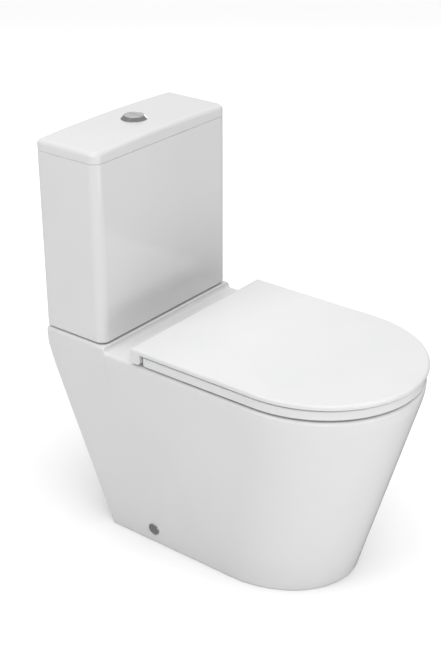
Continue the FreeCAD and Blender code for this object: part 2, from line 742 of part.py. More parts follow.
def make_flush_valve():
    base = [("tail_bore", "-cistern_floor - seal_thickness - tail_drop"),
            ("tail_radius", "-cistern_floor - seal_thickness - tail_drop"), ("tail_radius", "0"),
            ("flange_radius", "0"), ("flange_radius", "flange_thickness"),
            ("tail_bore + seat_lip_wall", "flange_thickness"),
            ("tail_bore + seat_lip_wall", "flange_thickness + seat_lip"),
            ("tail_bore", "flange_thickness + seat_lip")]
    node(turned("valve_base", base, y="valve_y", z="flange_bottom"), "flush_valve_base")
    node(ring_washer("flange_radius", "tail_radius + fit_clearance", "seal_thickness", "0", "valve_y",
                     "tank_floor_top"), "flush_valve_seal")
    node(ring_washer("backnut_radius", "tail_radius + fit_clearance", "backnut_height", "0", "valve_y",
                     "tank_bottom - backnut_height"), "flush_valve_backnut")
    plate = "cage_height + cage_plate"
    tower = [("flange_radius - cage_wall", "0"), ("flange_radius", "0"), ("flange_radius", plate),
             ("tower_bore + cage_wall", plate),
             ("tower_bore + cage_wall", plate + " + tower_height + cage_plate"),
             ("tube_radius + tube_play", plate + " + tower_height + cage_plate"),
             ("tube_radius + tube_play", plate + " + tower_height"),
             ("tower_bore", plate + " + tower_height"),
             ("tower_bore", "cage_height"), ("flange_radius - cage_wall", "cage_height")]
    shell = turned("tower", tower, y="valve_y", z="flange_top")
    windows = [box("flange_radius * 3", "cage_window", "cage_window", "-flange_radius * 1.5",
                   "valve_y - cage_window / 2", "flange_top + window_sill"),
               box("cage_window", "flange_radius * 3", "cage_window", "-cage_window / 2",
                   "valve_y - flange_radius * 1.5", "flange_top + window_sill")]
    lane = "valve_y - rod_lane - rocker_width / 2 - 1"
    slot = box("tower_bore - tube_radius + 1", "rocker_width + 2", "cage_plate * 3", "tube_radius - 1", lane,
               "tower_top - cage_plate")
    posts = []
    offset = "rod_lane + rocker_width / 2 + pivot_margin"
    for y in ("valve_y - (%s) - post_wall" % offset, "valve_y + (%s)" % offset):
        posts.append(box("rocker_hub * 2", "post_wall", "pivot_height + rocker_hub", "-rocker_hub", y,
                         "tower_top + cage_plate"))
    pin_length = "2 * (%s + post_wall)" % offset
    pin_start = "valve_y - (%s) / 2" % pin_length
    bore = cylinder("pivot_radius", pin_length, "0", pin_start, "pivot_level", "y")
    node(cut(fuse([cut(shell, windows + [slot])] + posts), [bore]), "flush_valve_body")
    node(cylinder("pivot_radius", pin_length, "0", pin_start, "pivot_level", "y"), "rocker_pin")

    tube_foot = "disc_bottom + disc_thickness"
    tube = cylinder("tube_radius", "tube_top - (%s)" % tube_foot, y="valve_y", z=tube_foot)
    collar = cylinder("disc_radius - strip_thickness", "collar_height", y="valve_y", z=tube_foot)
    near = "valve_y - rod_lane - hook_width / 2"
    arm_level = "tube_top - hook_drop"
    ear = box("strip_offset - tube_bore + 1", "hook_width", "hook_height", "tube_bore + 1", near, arm_level)
    strip = box("strip_thickness", "hook_width", "rod_foot + hook_height - (%s)" % arm_level, "strip_offset",
                near, arm_level)
    hook = box("hook_reach", "hook_width", "hook_height", "strip_offset + strip_thickness - hook_reach",
               near, "rod_foot")
    hollow = cylinder("tube_bore", "tube_top - disc_bottom + 20", y="valve_y", z="disc_bottom - 10")
    node(cut(fuse([tube, collar, ear, strip, hook]), [hollow]), "overflow_tube")
    node(ring_washer("disc_radius", "tube_bore", "disc_thickness", "0", "valve_y", "disc_bottom"),
         "valve_disc_seal")

    rockers = [("full_flush_rocker", "valve_y - rod_lane", "rocker_lift", "-rocker_push"),
               ("half_flush_rocker", "valve_y + rod_lane", "rocker_trip", "-rocker_trip")]
    for label, middle, far, low in rockers:
        near = middle + " - rocker_width / 2"
        bar = box("rocker_push + " + far, "rocker_width", "rocker_bar", low, near,
                  "pivot_level - rocker_bar / 2")
        hub = cylinder("rocker_hub", "rocker_width", "0", near, "pivot_level", "y")
        eye = cylinder("pivot_radius + fit_clearance", "rocker_width * 3", "0",
                       middle + " - rocker_width * 1.5", "pivot_level", "y")
        node(cut(fuse([bar, hub]), [eye]), label)


def make_fill_valve():
    x = "fill_offset"
    shank = "-cistern_floor - seal_thickness - thread_drop"
    head = "flange_thickness + stem_height"
    neck = shank + " + thread_length"
    profile = [("thread_radius - 4", shank), ("thread_radius", shank), ("thread_radius", neck),
               ("shank_radius", neck), ("shank_radius", "0"),
               ("fill_flange", "0"), ("fill_flange", "flange_thickness"),
               ("stem_radius", "flange_thickness"),
               ("stem_radius", head), ("head_radius", head), ("head_radius", head + " + head_height"),
               ("0", head + " + head_height"), ("0", head), ("thread_radius - 4", head + " - 10")]
    body = turned("fill_valve", profile, x, "valve_y", "flange_bottom")
    pivot = "%s + lever_pivot_offset" % x
    head_top = "stem_top + head_height"
    ears = []
    for y in ("valve_y - lever_width / 2 - ear_gap - post_wall", "valve_y + lever_width / 2 + ear_gap"):
        ears.append(box("ear_length", "post_wall", "lever_pivot_height + lever_thickness",
                        pivot + " - ear_length / 2", y, head_top + " - 1"))
    pin = ("pivot_radius", "lever_width + 2 * lever_thickness", pivot,
           "valve_y - lever_width / 2 - lever_thickness", "lever_level", "y")
    node(cut(fuse([body] + ears), [cylinder(*pin)]), "fill_valve_body")
    node(cylinder(*pin), "float_lever_pin")
    node(ring_washer("fill_flange", "shank_radius + fit_clearance", "seal_thickness", x, "valve_y",
                     "tank_floor_top"), "fill_valve_seal")
    node(ring_washer("fill_nut_radius", "shank_radius + fit_clearance", "fill_nut_height", x, "valve_y",
                     "tank_bottom - fill_nut_height"), "fill_valve_backnut")
    cup_foot = "float_level - float_height - float_gap"
    cup = cylinder("float_radius", "float_height", x, "valve_y", cup_foot)
    bore = cylinder("stem_radius + 2 * body_gap", "float_height * 2", x, "valve_y",
                    cup_foot + " - float_height / 2")
    rod_length = "lever_level - lever_thickness / 2 - foot_gap - (float_level) + float_rod_root"
    gauge = cylinder("float_rod", rod_length, "%s - float_arm" % pivot, "valve_y",
                     "float_level - float_rod_root")
    node(cut(fuse([cup, gauge]), [bore]), "float_cup")
    arm = box("float_arm + lever_tail", "lever_width", "lever_thickness",
              "%s - float_arm - lever_tail" % pivot, "valve_y - lever_width / 2",
              "lever_level - lever_thickness / 2")
    eye = cylinder("pivot_radius + fit_clearance", "lever_width * 3", pivot, "valve_y - lever_width * 1.5",
                   "lever_level", "y")
    hub = cylinder("lever_thickness", "lever_width", pivot, "valve_y - lever_width / 2", "lever_level", "y")
    node(cut(fuse([arm, hub]), [eye]), "float_lever")


def round_edges(solid, radius, wanted):
    return solid.makeFillet(radius, [edge for edge in solid.Edges if wanted(edge)])


def make_seat():
    wall, axis_y, axis_z = size("wall"), size("hinge_y"), size("hinge_level")
    half, oval = size("seat_width / 2"), size("oval_start")
    low, high = size("lid_bottom"), size("lid_top")
    plan = oval_plan(half, half, size("lid_back"), oval, size("total_length"), low)
    lid = Part.Face(plan).extrude(Vector(0, 0, high - low))
    lid = round_edges(lid, size("lid_round"), lambda edge: edge.BoundBox.ZMin > high - 0.01)
    block_start, reach = size("block_start"), size("hinge_depth + block_front")
    block_low = size("rim_height + block_lift")
    parts = []
    for side in (-1, 1):
        x = min(side * block_start, side * half)
        block = Part.makeBox(half - block_start, reach - size("lid_back"), high - 3 - block_low,
                             Vector(x, wall - reach, block_low))
        parts.append(round_edges(block, size("block_round"),
                                 lambda edge: edge.BoundBox.ZMax < block_low + 0.01
                                 and edge.BoundBox.YMax < wall - reach + 0.01))
    lid = lid.fuse(parts)
    bore = size("hinge_pin_radius + fit_clearance")
    reach_x = size("hinge_pin_outer") + 1
    bores = []
    for side in (-1, 1):
        start = Vector(side * (block_start - 5), axis_y, axis_z)
        bores.append(Part.makeCylinder(bore, reach_x - block_start + 5, start, Vector(side, 0, 0)))
    shaped(lid.cut(bores).removeSplitter(), "seat_lid")

    low, high = size("ring_bottom"), size("ring_top")
    half = size("seat_width / 2 - ring_inset")
    plan = oval_plan(half, half, size("ring_back"), oval, size("total_length - ring_inset * 2"), low)
    hole = ellipse_wire(size("ring_hole_half_width"), size("ring_hole_half_length"),
                        size("ring_hole_centre"), low)
    ring = Part.Face(plan).extrude(Vector(0, 0, high - low))
    ring = ring.cut(Part.Face(hole).extrude(Vector(0, 0, high - low)))
    ring = round_edges(ring, size("ring_round"),
                       lambda edge: edge.BoundBox.ZLength < 0.01 and edge.BoundBox.ZMin > high - 0.01)
    knuckle, parts, bores = size("knuckle_radius"), [], []
    start, stop = size("knuckle_start"), size("knuckle_end")
    for side in (-1, 1):
        along = Vector(side, 0, 0)
        parts.append(Part.makeCylinder(knuckle, stop - start, Vector(side * start, axis_y, axis_z), along))
        reach = size("ring_back - hinge_depth") + 12
        x = min(side * start, side * stop)
        arm_height = size("ring_top") - size("ring_round") - (axis_z - 4)
        parts.append(Part.makeBox(stop - start, reach, arm_height, Vector(x, axis_y - reach, axis_z - 4)))
        opening = Vector(side * (start - 5), axis_y, axis_z)
        bores.append(Part.makeCylinder(bore, stop - start + 10, opening, along))
    shaped(ring.fuse(parts).cut(bores).removeSplitter(), "seat_ring")

    buffers = []
    for place in ("back", "front"):
        x = size("ring_hole_half_width + ring_buffer_%s_offset" % place)
        y = size("wall - ring_buffer_%s" % place)
        for side in (-1, 1):
            spot = Vector(side * x, y, size("rim_height + body_gap"))
            buffers.append(Part.makeCylinder(size("buffer_radius"), size("ring_rise - body_gap"), spot))
    shaped(Part.makeCompound(buffers), "ring_buffers")
    buffers = []
    for side in (-1, 1):
        x = side * size("ring_hole_half_width + lid_buffer_offset")
        spot = Vector(x, size("wall - lid_buffer_reach"), size("ring_top + body_gap"))
        buffers.append(Part.makeCylinder(size("buffer_radius"), size("seat_gap - body_gap"), spot))
    shaped(Part.makeCompound(buffers), "lid_buffers")


def make_hinges():
    washers, nuts, studs = [], [], []
    for label, sign in (("left", "-"), ("right", "")):
        x = sign + "hinge_spacing / 2"
        low_x = "%s - post_width / 2" % x
        foot = cylinder("post_foot_radius", "post_foot_height", x, "hinge_y", "rim_height")
        stem = box("post_width", "post_half_depth * 2", "hinge_height", low_x, "hinge_y - post_half_depth",
                   "rim_height")
        barrel = cylinder("barrel_radius", "post_width", low_x, "hinge_y", "hinge_level", "x")
        socket = cylinder("stud_radius", "stud_top * 2", x, "hinge_y", "rim_height - stud_top")
        inner = "hinge_pin_inner" if sign == "" else "-hinge_pin_outer"
        pin_length = "hinge_pin_outer - hinge_pin_inner"
        bore = cylinder("hinge_pin_radius", pin_length, inner, "hinge_y", "hinge_level", "x")
        node(cut(fuse([foot, stem, barrel]), [socket, bore]), "hinge_post_" + label)
        node(cylinder("hinge_pin_radius", pin_length, inner, "hinge_y", "hinge_level", "x"),
             "hinge_pin_" + label)
        studs.append(cylinder("stud_radius", "stud_length", x, "hinge_y",
                              "rim_height + stud_top - stud_length"))
        washers.append(ring_washer("washer_radius", "stud_radius + fit_clearance", "washer_thickness", x,
                                   "hinge_y", "deck_underside - washer_thickness"))
        nuts.append(wing_nut(x, "hinge_y", "deck_underside - washer_thickness", "stud_radius"))
    node(fuse(studs), "hinge_studs")
    node(fuse(washers), "hinge_washers")
    node(fuse(nuts), "hinge_wing_nuts")


def make_floor_fixing():
    screws = []
    for label, side in (("left", -1), ("right", 1)):
        face, thick = side * size("bracket_face"), side * size("bracket_thickness")
        inner = side * size("bracket_face - bracket_foot")
        wide, tall = size("bracket_width"), size("bracket_height")
        y = size("side_screw_y")
        corners = [(face, 0), (face, tall), (face - thick, tall), (face - thick, abs(thick)),
                   (inner, abs(thick)), (inner, 0), (face, 0)]
        profile = Part.Face(Part.makePolygon([Vector(x, y - wide / 2, level) for x, level in corners]))
        angle = profile.extrude(Vector(0, wide, 0))
        head, outward = side_screw_line(side)
        length, radius = size("side_screw_length"), size("side_screw_radius")
        screw = Part.makeCylinder(radius, length, head, -outward)
        screws.append(screw)
        fixing = Part.makeCylinder(size("floor_hole_radius"), abs(thick) * 3,
                                   Vector(side * size("floor_hole_spacing / 2"), y, -abs(thick)))
        shaped(angle.cut([screw, fixing]), "floor_bracket_" + label)
        thickness = size("cap_thickness")
        cap = Part.makeCylinder(size("cap_radius"), thickness, Vector(0, 0, 0), Vector(0, 0, 1))
        cap = round_edges(cap, thickness * 0.6, lambda edge: edge.BoundBox.ZMin > thickness - 0.01)
        cap.Placement = Placement(head + outward * size("cap_gap"), Rotation(Vector(0, 0, 1), outward))
        shaped(cap, "screw_cap_" + label)
    shaped(Part.makeCompound(screws), "side_screws")


make_pan()
make_cistern()
make_cistern_lid()
make_coupling()
make_button()
make_flush_valve()
make_fill_valve()
make_seat()
make_hinges()
make_floor_fixing()
doc.recompute()

for thing in doc.Objects:
    if "Invalid" in thing.State or "Error" in thing.State:
        raise RuntimeError("%s is in state %s" % (thing.Label, thing.State))
for thing in nodes:
    if thing.Shape.isNull() or not thing.Shape.isValid() or not thing.Shape.Solids:
        raise RuntimeError("%s has no valid solid" % thing.Label)

os.makedirs("parts", exist_ok=True)
for thing in nodes:
    thing.Shape.exportStep("parts/%s.step" % thing.Label)
    print("%-22s solids %d volume %.0f" % (thing.Label, len(thing.Shape.Solids), thing.Shape.Volume))
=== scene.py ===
import json
import math
import bmesh
import bpy
from mathutils import Matrix, Vector


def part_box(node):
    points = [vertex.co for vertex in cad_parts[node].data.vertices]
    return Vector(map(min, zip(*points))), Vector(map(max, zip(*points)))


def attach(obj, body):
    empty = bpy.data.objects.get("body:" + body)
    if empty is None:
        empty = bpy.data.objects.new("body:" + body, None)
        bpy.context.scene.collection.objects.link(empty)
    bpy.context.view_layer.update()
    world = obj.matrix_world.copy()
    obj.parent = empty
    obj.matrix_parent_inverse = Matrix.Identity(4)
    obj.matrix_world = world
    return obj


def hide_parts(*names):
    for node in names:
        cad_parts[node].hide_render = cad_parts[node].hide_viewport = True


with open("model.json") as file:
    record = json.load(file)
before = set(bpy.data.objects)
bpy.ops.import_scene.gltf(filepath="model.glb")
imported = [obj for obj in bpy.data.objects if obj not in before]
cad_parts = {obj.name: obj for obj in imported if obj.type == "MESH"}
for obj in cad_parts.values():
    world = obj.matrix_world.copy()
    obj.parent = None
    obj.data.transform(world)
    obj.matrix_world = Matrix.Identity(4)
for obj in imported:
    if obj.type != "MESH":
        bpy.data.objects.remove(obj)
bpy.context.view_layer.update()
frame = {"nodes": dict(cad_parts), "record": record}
scene = bpy.context.scene
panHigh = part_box("pan_skirt")[1]
tankLow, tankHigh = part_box("cistern_tank")
tankLidLow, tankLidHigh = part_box("cistern_lid")
lidLow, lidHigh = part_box("seat_lid")
ringLow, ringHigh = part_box("seat_ring")
bezelLow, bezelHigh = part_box("button_bezel")
wallY = panHigh.y
valveY = wallY - 0.069  # the flush valve, the push button and the bolts stand in this line
hingeY, hingeZ = wallY - 0.218, 0.413
boltSpread, hingeSpread = 0.075, 0.0775
print("frame loaded:", len(frame["nodes"]), "nodes")


def newMaterial(name):
    material = bpy.data.materials.new(name)
    material.use_nodes = True
    nodes = material.node_tree.nodes
    shader = nodes["Principled BSDF"]
    coords = nodes.new("ShaderNodeTexCoord")
    return material, nodes, material.node_tree.links, shader, coords.outputs["Object"]


def addNoise(nodes, links, vector, scale, detail=3.0, stretch=None):
    noise = nodes.new("ShaderNodeTexNoise")
    noise.inputs["Scale"].default_value = scale
    noise.inputs["Detail"].default_value = detail
    if stretch:
        mapping = nodes.new("ShaderNodeMapping")
        mapping.inputs["Scale"].default_value = stretch
        links.new(vector, mapping.inputs["Vector"])
        vector = mapping.outputs["Vector"]
    links.new(vector, noise.inputs["Vector"])
    return noise.outputs["Fac"]


def addRange(nodes, links, value, low, high, fromLow=0.3, fromHigh=0.7):
    spread = nodes.new("ShaderNodeMapRange")
    spread.inputs["From Min"].default_value = fromLow
    spread.inputs["From Max"].default_value = fromHigh
    spread.inputs["To Min"].default_value = low
    spread.inputs["To Max"].default_value = high
    links.new(value, spread.inputs["Value"])
    return spread.outputs["Result"]


def addMix(nodes, links, factor, first, second):
    mix = nodes.new("ShaderNodeMix")
    mix.data_type = "RGBA"
    for socket, value in ((mix.inputs[6], first), (mix.inputs[7], second)):
        if isinstance(value, tuple):
            socket.default_value = value + (1.0,)
        else:
            links.new(value, socket)
    links.new(factor, mix.inputs[0])
    return mix.outputs[2]


def addBump(nodes, links, shader, heights):
    normal = None
    for value, strength, distance in heights:
        bump = nodes.new("ShaderNodeBump")
        bump.inputs["Strength"].default_value = strength
        bump.inputs["Distance"].default_value = distance
        links.new(value, bump.inputs["Height"])
        if normal is not None:
            links.new(normal, bump.inputs["Normal"])
        normal = bump.outputs["Normal"]
    links.new(normal, shader.inputs["Normal"])


def makeGlaze():
    # white glaze, bare clay where the foot stands on the floor
    material, nodes, links, shader, coords = newMaterial("whiteGlaze")
    cloud = addNoise(nodes, links, coords, 5.0, 2.0)
    share = addRange(nodes, links, cloud, 0.0, 1.0)
    tone = addMix(nodes, links, share, (0.680, 0.682, 0.684), (0.704, 0.704, 0.702))
    split = nodes.new("ShaderNodeSeparateXYZ")
    links.new(coords, split.inputs[0])
    edgeNoise = addNoise(nodes, links, coords, 90.0, 4.0)
    height = nodes.new("ShaderNodeMath")
    height.operation = "MULTIPLY_ADD"
    links.new(edgeNoise, height.inputs[0])
    height.inputs[1].default_value = 0.002
    links.new(split.outputs["Z"], height.inputs[2])
    glazed = addRange(nodes, links, height.outputs[0], 0.0, 1.0, 0.0018, 0.0026)
    color = addMix(nodes, links, glazed, (0.62, 0.58, 0.52), tone)
    links.new(color, shader.inputs["Base Color"])
    gloss = addRange(nodes, links, addNoise(nodes, links, coords, 14.0, 3.0), 0.05, 0.09)
    rough = nodes.new("ShaderNodeMix")
    links.new(glazed, rough.inputs[0])
    rough.inputs[2].default_value = 0.75
    links.new(gloss, rough.inputs[3])
    links.new(rough.outputs[0], shader.inputs["Roughness"])
    shader.inputs["IOR"].default_value = 1.5
    addBump(nodes, links, shader, [(addNoise(nodes, links, coords, 22.0, 1.0), 0.12, 0.0012),
                                   (addNoise(nodes, links, coords, 420.0, 2.0), 0.05, 0.00006)])
    return material


def makeMoulded(name, dark, light, roughLow, roughHigh, grain, grainScale=900.0):
    material, nodes, links, shader, coords = newMaterial(name)
    cloud = addNoise(nodes, links, coords, 9.0, 2.0)
    tone = addMix(nodes, links, addRange(nodes, links, cloud, 0.0, 1.0), dark, light)
    links.new(tone, shader.inputs["Base Color"])
    rough = addRange(nodes, links, addNoise(nodes, links, coords, 30.0, 4.0), roughLow, roughHigh)
    links.new(rough, shader.inputs["Roughness"])
    shader.inputs["IOR"].default_value = 1.5
    addBump(nodes, links, shader, [(addNoise(nodes, links, coords, 16.0, 1.0), 0.08, 0.0009),
                                   (addNoise(nodes, links, coords, grainScale, 2.0), grain, 0.00008)])
    return material


def makeMetal(name, dark, light, roughLow, roughHigh, stretch=None):
    material, nodes, links, shader, coords = newMaterial(name)
    shader.inputs["Metallic"].default_value = 1.0
    cloud = addNoise(nodes, links, coords, 60.0, 3.0, stretch)
    tone = addMix(nodes, links, addRange(nodes, links, cloud, 0.0, 1.0), dark, light)
    links.new(tone, shader.inputs["Base Color"])
    rough = addRange(nodes, links, addNoise(nodes, links, coords, 140.0, 4.0, stretch), roughLow, roughHigh)
    links.new(rough, shader.inputs["Roughness"])
    addBump(nodes, links, shader, [(addNoise(nodes, links, coords, 350.0, 2.0, stretch), 0.06, 0.00004)])
    return material


glaze = makeGlaze()
seatResin = makeMoulded("seatResin", (0.688, 0.690, 0.692), (0.708, 0.708, 0.706), 0.07, 0.12, 0.03)
polishedChrome = makeMetal("polishedChrome", (0.72, 0.73, 0.74), (0.82, 0.82, 0.83), 0.10, 0.18)
# the caps' chrome is rougher (a real satin finish), and its base colour is darkened to paint in the dark surroundings
# the caps mirror: a painted reflection
satinChromePaintedDarkReflection = makeMetal("satinChromePaintedDarkReflection", (0.52, 0.525, 0.53), (0.62, 0.62, 0.625), 0.24, 0.34)
zincSteel = makeMetal("zincSteel", (0.50, 0.50, 0.50), (0.66, 0.65, 0.63), 0.22, 0.40, (1.0, 1.0, 6.0))
blackRubber = makeMoulded("blackRubber", (0.018, 0.018, 0.018), (0.035, 0.034, 0.033), 0.55, 0.8, 0.25, 700.0)
greyBuffer = makeMoulded("greyBuffer", (0.55, 0.56, 0.56), (0.66, 0.66, 0.65), 0.35, 0.5, 0.12, 800.0)
valvePlastic = makeMoulded("valvePlastic", (0.70, 0.71, 0.72), (0.78, 0.78, 0.77), 0.32, 0.45, 0.15)
bluePlastic = makeMoulded("bluePlastic", (0.03, 0.11, 0.30), (0.05, 0.15, 0.37), 0.30, 0.42, 0.15)
bracketPlastic = makeMoulded("bracketPlastic", (0.1, 0.105, 0.11), (0.15, 0.15, 0.155), 0.45, 0.6, 0.3, 500.0)
slotMaterials = {"ceramic": glaze, "seat_resin": seatResin, "chrome": polishedChrome, "steel": zincSteel,
                 "black_rubber": blackRubber, "clear_buffer": greyBuffer, "valve_plastic": valvePlastic,
                 "rocker_plastic": bluePlastic, "bracket_plastic": bracketPlastic}
for part in frame["record"]["subparts"]:
    frame["nodes"][part["node"]].data.materials.clear()
    frame["nodes"][part["node"]].data.materials.append(slotMaterials[part["material_slot"]])
print("materials made")


def addRow(mesh, points):
    return [mesh.verts.new(point) for point in points]


def bridgeRows(mesh, first, second, closed=False):
    count = len(first)
    for index in range(count if closed else count - 1):
        following = (index + 1) % count
        corners = [first[index], first[following], second[following], second[index]]
        unique = list(dict.fromkeys(corners))
        if len(unique) > 2 and mesh.faces.get(unique) is None:
            mesh.faces.new(unique)


def bridgeAll(mesh, rows, closed=False):
    for first, second in zip(rows, rows[1:]):
        bridgeRows(mesh, first, second, closed)


def toObject(mesh, name, material=None, merge=1e-6):
    bmesh.ops.remove_doubles(mesh, verts=mesh.verts, dist=merge)
    bmesh.ops.recalc_face_normals(mesh, faces=mesh.faces)
    data = bpy.data.meshes.new(name)
    mesh.to_mesh(data)
    mesh.free()
    piece = bpy.data.objects.new(name, data)
    scene.collection.objects.link(piece)
    if material:
        data.materials.append(material)
    return piece


def bakeModifiers(piece):
    bpy.context.view_layer.update()
    evaluated = piece.evaluated_get(bpy.context.evaluated_depsgraph_get())
    data = bpy.data.meshes.new_from_object(evaluated)
    old = piece.data
    piece.modifiers.clear()
    piece.data = data
    bpy.data.meshes.remove(old)
    data.name = piece.name


def carve(piece, tools, operation):
    # the tools are used up
    for tool in tools:
        modifier = piece.modifiers.new(operation, "BOOLEAN")
        modifier.operation = operation
        modifier.solver = "EXACT"
        modifier.object = tool
    bakeModifiers(piece)
    for tool in tools:
        data = tool.data
        bpy.data.objects.remove(tool)
        bpy.data.meshes.remove(data)


def smoothPiece(piece, angle=32.0):
    # closes the open slits that a boolean can leave along one line, then rounds the shading
    mesh = bmesh.new()
    mesh.from_mesh(piece.data)
    bmesh.ops.holes_fill(mesh, edges=[edge for edge in mesh.edges if len(edge.link_faces) == 1], sides=4)
    bmesh.ops.collapse(mesh, edges=[edge for edge in mesh.edges if len(edge.link_faces) == 1], uvs=False)
    bmesh.ops.dissolve_degenerate(mesh, dist=2e-6, edges=mesh.edges[:])
    mesh.to_mesh(piece.data)
    mesh.free()
    for polygon in piece.data.polygons:
        polygon.use_smooth = True
    piece.data.set_sharp_from_angle(angle=math.radians(angle))
    weighted = piece.modifiers.new("weighted", "WEIGHTED_NORMAL")
    weighted.keep_sharp = True
    bakeModifiers(piece)


def settle(piece, body, slot, *nodes):
    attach(piece, body)
    if nodes:
        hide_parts(*nodes)


def circle(radius, around):
    return [(radius * math.cos(2 * math.pi * step / around), radius * math.sin(2 * math.pi * step / around))
            for step in range(around)]


def between(first, second, share):
    return first + (second - first) * share


def arcSteps(radius, steps):
    # (inset, drop) pairs of a quarter round, from the side face up to the flat one
    angles = [math.pi / 2 * step / steps for step in range(steps + 1)]
    return [(radius * (1 - math.cos(angle)), radius * (1 - math.sin(angle))) for angle in angles]


def turnedMesh(name, profile, centre, around=64, material=None):
    # profile: (radius, height) pairs of a closed outline, turned about an upright line through centre
    mesh = bmesh.new()
    rows = []
    for radius, height in profile + [profile[0]]:
        rows.append(addRow(mesh, [(x, y, height) for x, y in circle(radius, around)]))
    bridgeAll(mesh, rows, True)
    bmesh.ops.translate(mesh, vec=Vector(centre), verts=mesh.verts)
    return toObject(mesh, name, material)


def rodMesh(name, start, end, radius, around=48):
    start, end = Vector(start), Vector(end)
    mesh = bmesh.new()
    length = (end - start).length
    turn = Vector((0, 0, 1)).rotation_difference(end - start).to_matrix().to_4x4()
    bmesh.ops.create_cone(mesh, cap_ends=True, segments=around, radius1=radius, radius2=radius, depth=length,
                          matrix=Matrix.Translation((start + end) / 2) @ turn)
    return toObject(mesh, name)


def blockMesh(name, low, high):
    mesh = bmesh.new()
    low, high = Vector(low), Vector(high)
    size = high - low
    bmesh.ops.create_cube(mesh, size=1.0, matrix=Matrix.Translation((low + high) / 2)
                          @ Matrix.Diagonal((size.x, size.y, size.z, 1.0)))
    return toObject(mesh, name)


def bevelBlock(piece, width, segments=4, angle=40.0):
    bevel = piece.modifiers.new("bevel", "BEVEL")
    bevel.width = width
    bevel.segments = segments
    bevel.limit_method = "ANGLE"
    bevel.angle_limit = math.radians(angle)
    bakeModifiers(piece)


def loopRows(mesh, rows, capStart=True, capEnd=True):
    made = [addRow(mesh, row) for row in rows]
    bridgeAll(mesh, made, True)
    if capStart:
        mesh.faces.new(list(reversed(made[0])))
    if capEnd:
        mesh.faces.new(made[-1])
    return made


def loopSolid(name, rows, material=None):
    # a closed piece from loops with the same number of points, bottom to top
    mesh = bmesh.new()
    loopRows(mesh, rows)
    return toObject(mesh, name, material)


def roundedLoop(halfWidth, back, front, rearCorner, frontCorner, level, steps=10, straight=8):
    # a rectangle with round corners, back and front measured from the wall
    corners = [(1, front - frontCorner, frontCorner, 270), (1, back + rearCorner, rearCorner, 0),
               (-1, back + rearCorner, rearCorner, 90), (-1, front - frontCorner, frontCorner, 180)]
    arcs = []
    for side, depth, corner, start in corners:
        arc = []
        for step in range(steps + 1):
            angle = math.radians(start + 90 * step / steps)
            x = side * (halfWidth - corner) + corner * math.cos(angle)
            arc.append((x, wallY - depth + corner * math.sin(angle)))
        arcs.append(arc)
    points = []
    for arc, ahead in zip(arcs, arcs[1:] + arcs[:1]):
        points += arc
        here, there = arc[-1], ahead[0]
        points += [tuple(between(start, end, step / straight) for start, end in zip(here, there))
                   for step in range(1, straight)]
    return [(x, y, level) for x, y in points]


def ovalLoop(half, length, centre, level, around=96):
    points = []
    for step in range(around):
        angle = 2 * math.pi * step / around
        points.append((-half * math.sin(angle), wallY - centre + length * math.cos(angle), level))
    return points


def sweptTube(name, path, radius, around=40):
    # a round tube along a path of (depth, level) pairs in the middle plane
    rows = []
    for index, (depth, level) in enumerate(path):
        before, after = path[max(index - 1, 0)], path[min(index + 1, len(path) - 1)]
        run = Vector((0, before[0] - after[0], after[1] - before[1])).normalized()
        across = Vector((1, 0, 0))
        up = across.cross(run)
        centre = Vector((0, wallY - depth, level))
        rows.append([tuple(centre + across * x + up * y) for x, y in circle(radius, around)])
    return loopSolid(name, rows)


def bendPath(points, radius, steps=10):
    # straight runs joined by arcs through (depth, level) points
    path = [points[0]]
    for before, corner, after in zip(points, points[1:], points[2:]):
        inward = (Vector(before) - Vector(corner)).normalized()
        outward = (Vector(after) - Vector(corner)).normalized()
        halfTurn = (math.pi - inward.angle(outward)) / 2
        reach = radius * math.tan(halfTurn)
        first, last = Vector(corner) + inward * reach, Vector(corner) + outward * reach
        centre = Vector(corner) + (inward + outward).normalized() * (radius / math.cos(halfTurn))
        start, end = first - centre, last - centre
        sweep = start.angle_signed(end)
        for step in range(steps + 1):
            turn = Matrix.Rotation(-sweep * step / steps, 2)
            path.append(tuple(centre + turn @ start))
    return path + [points[-1]]


pan = {
    "deck": 0.397, "blend": 0.030, "baseHalf": 0.1355, "rearHalf": 0.1788, "rimHalf": 0.1843,
    "baseReach": 0.5550, "rimReach": 0.6630, "baseOval": 0.392, "rimOval": 0.470,
    "baseBack": 0.1055, "slantTop": 0.365, "wall": 0.012, "ceiling": 0.383,
    "rimRound": 0.006, "footRound": 0.0035, "rearRound": 0.003, "riseStart": 0.33,
    "shelfEdge": 0.1385, "shelfRound": 0.0025, "shelfHollow": 0.0075, "shelfEnd": 0.156,
    "bowlCentre": 0.440, "bowlHalf": 0.130, "bowlLength": 0.175, "bowlRound": 0.010, "bowlWall": 0.010,
    "sumpCentre": 0.362, "sumpLevel": 0.102, "sumpHalf": 0.034, "sumpLength": 0.040,
    "squeeze": 1.15, "lean": 2.2, "ledge": 0.003, "sideRows": 14, "frontRows": 60, "bowlRows": 30,
}
waterway = {
    "start": 0.350, "foot": 0.300, "low": 0.140, "weir": (0.212, 0.312), "turn": 0.128,
    "outlet": 0.180, "end": 0.070, "bend": 0.050, "outer": 0.047, "bore": 0.038, "spigotStart": 0.0995, "spigot": 0.051,
    "ductHalf": 0.050, "ductWall": 0.010, "ductNear": 0.029, "ductFar": 0.279, "ductFoot": 0.347,
    "ductTop": 0.389,
}
hole = {"bolt": 0.006, "fill": 0.025, "side": 0.0035, "passage": 0.030, "recess": 0.050, "fillX": 0.110}


def panShare(level):
    bend = pan["deck"] - pan["blend"]
    above = min(max(level - bend, 0.0), pan["blend"])
    return (min(level, bend) + above - above * above / (2 * pan["blend"])) / (bend + pan["blend"] / 2)


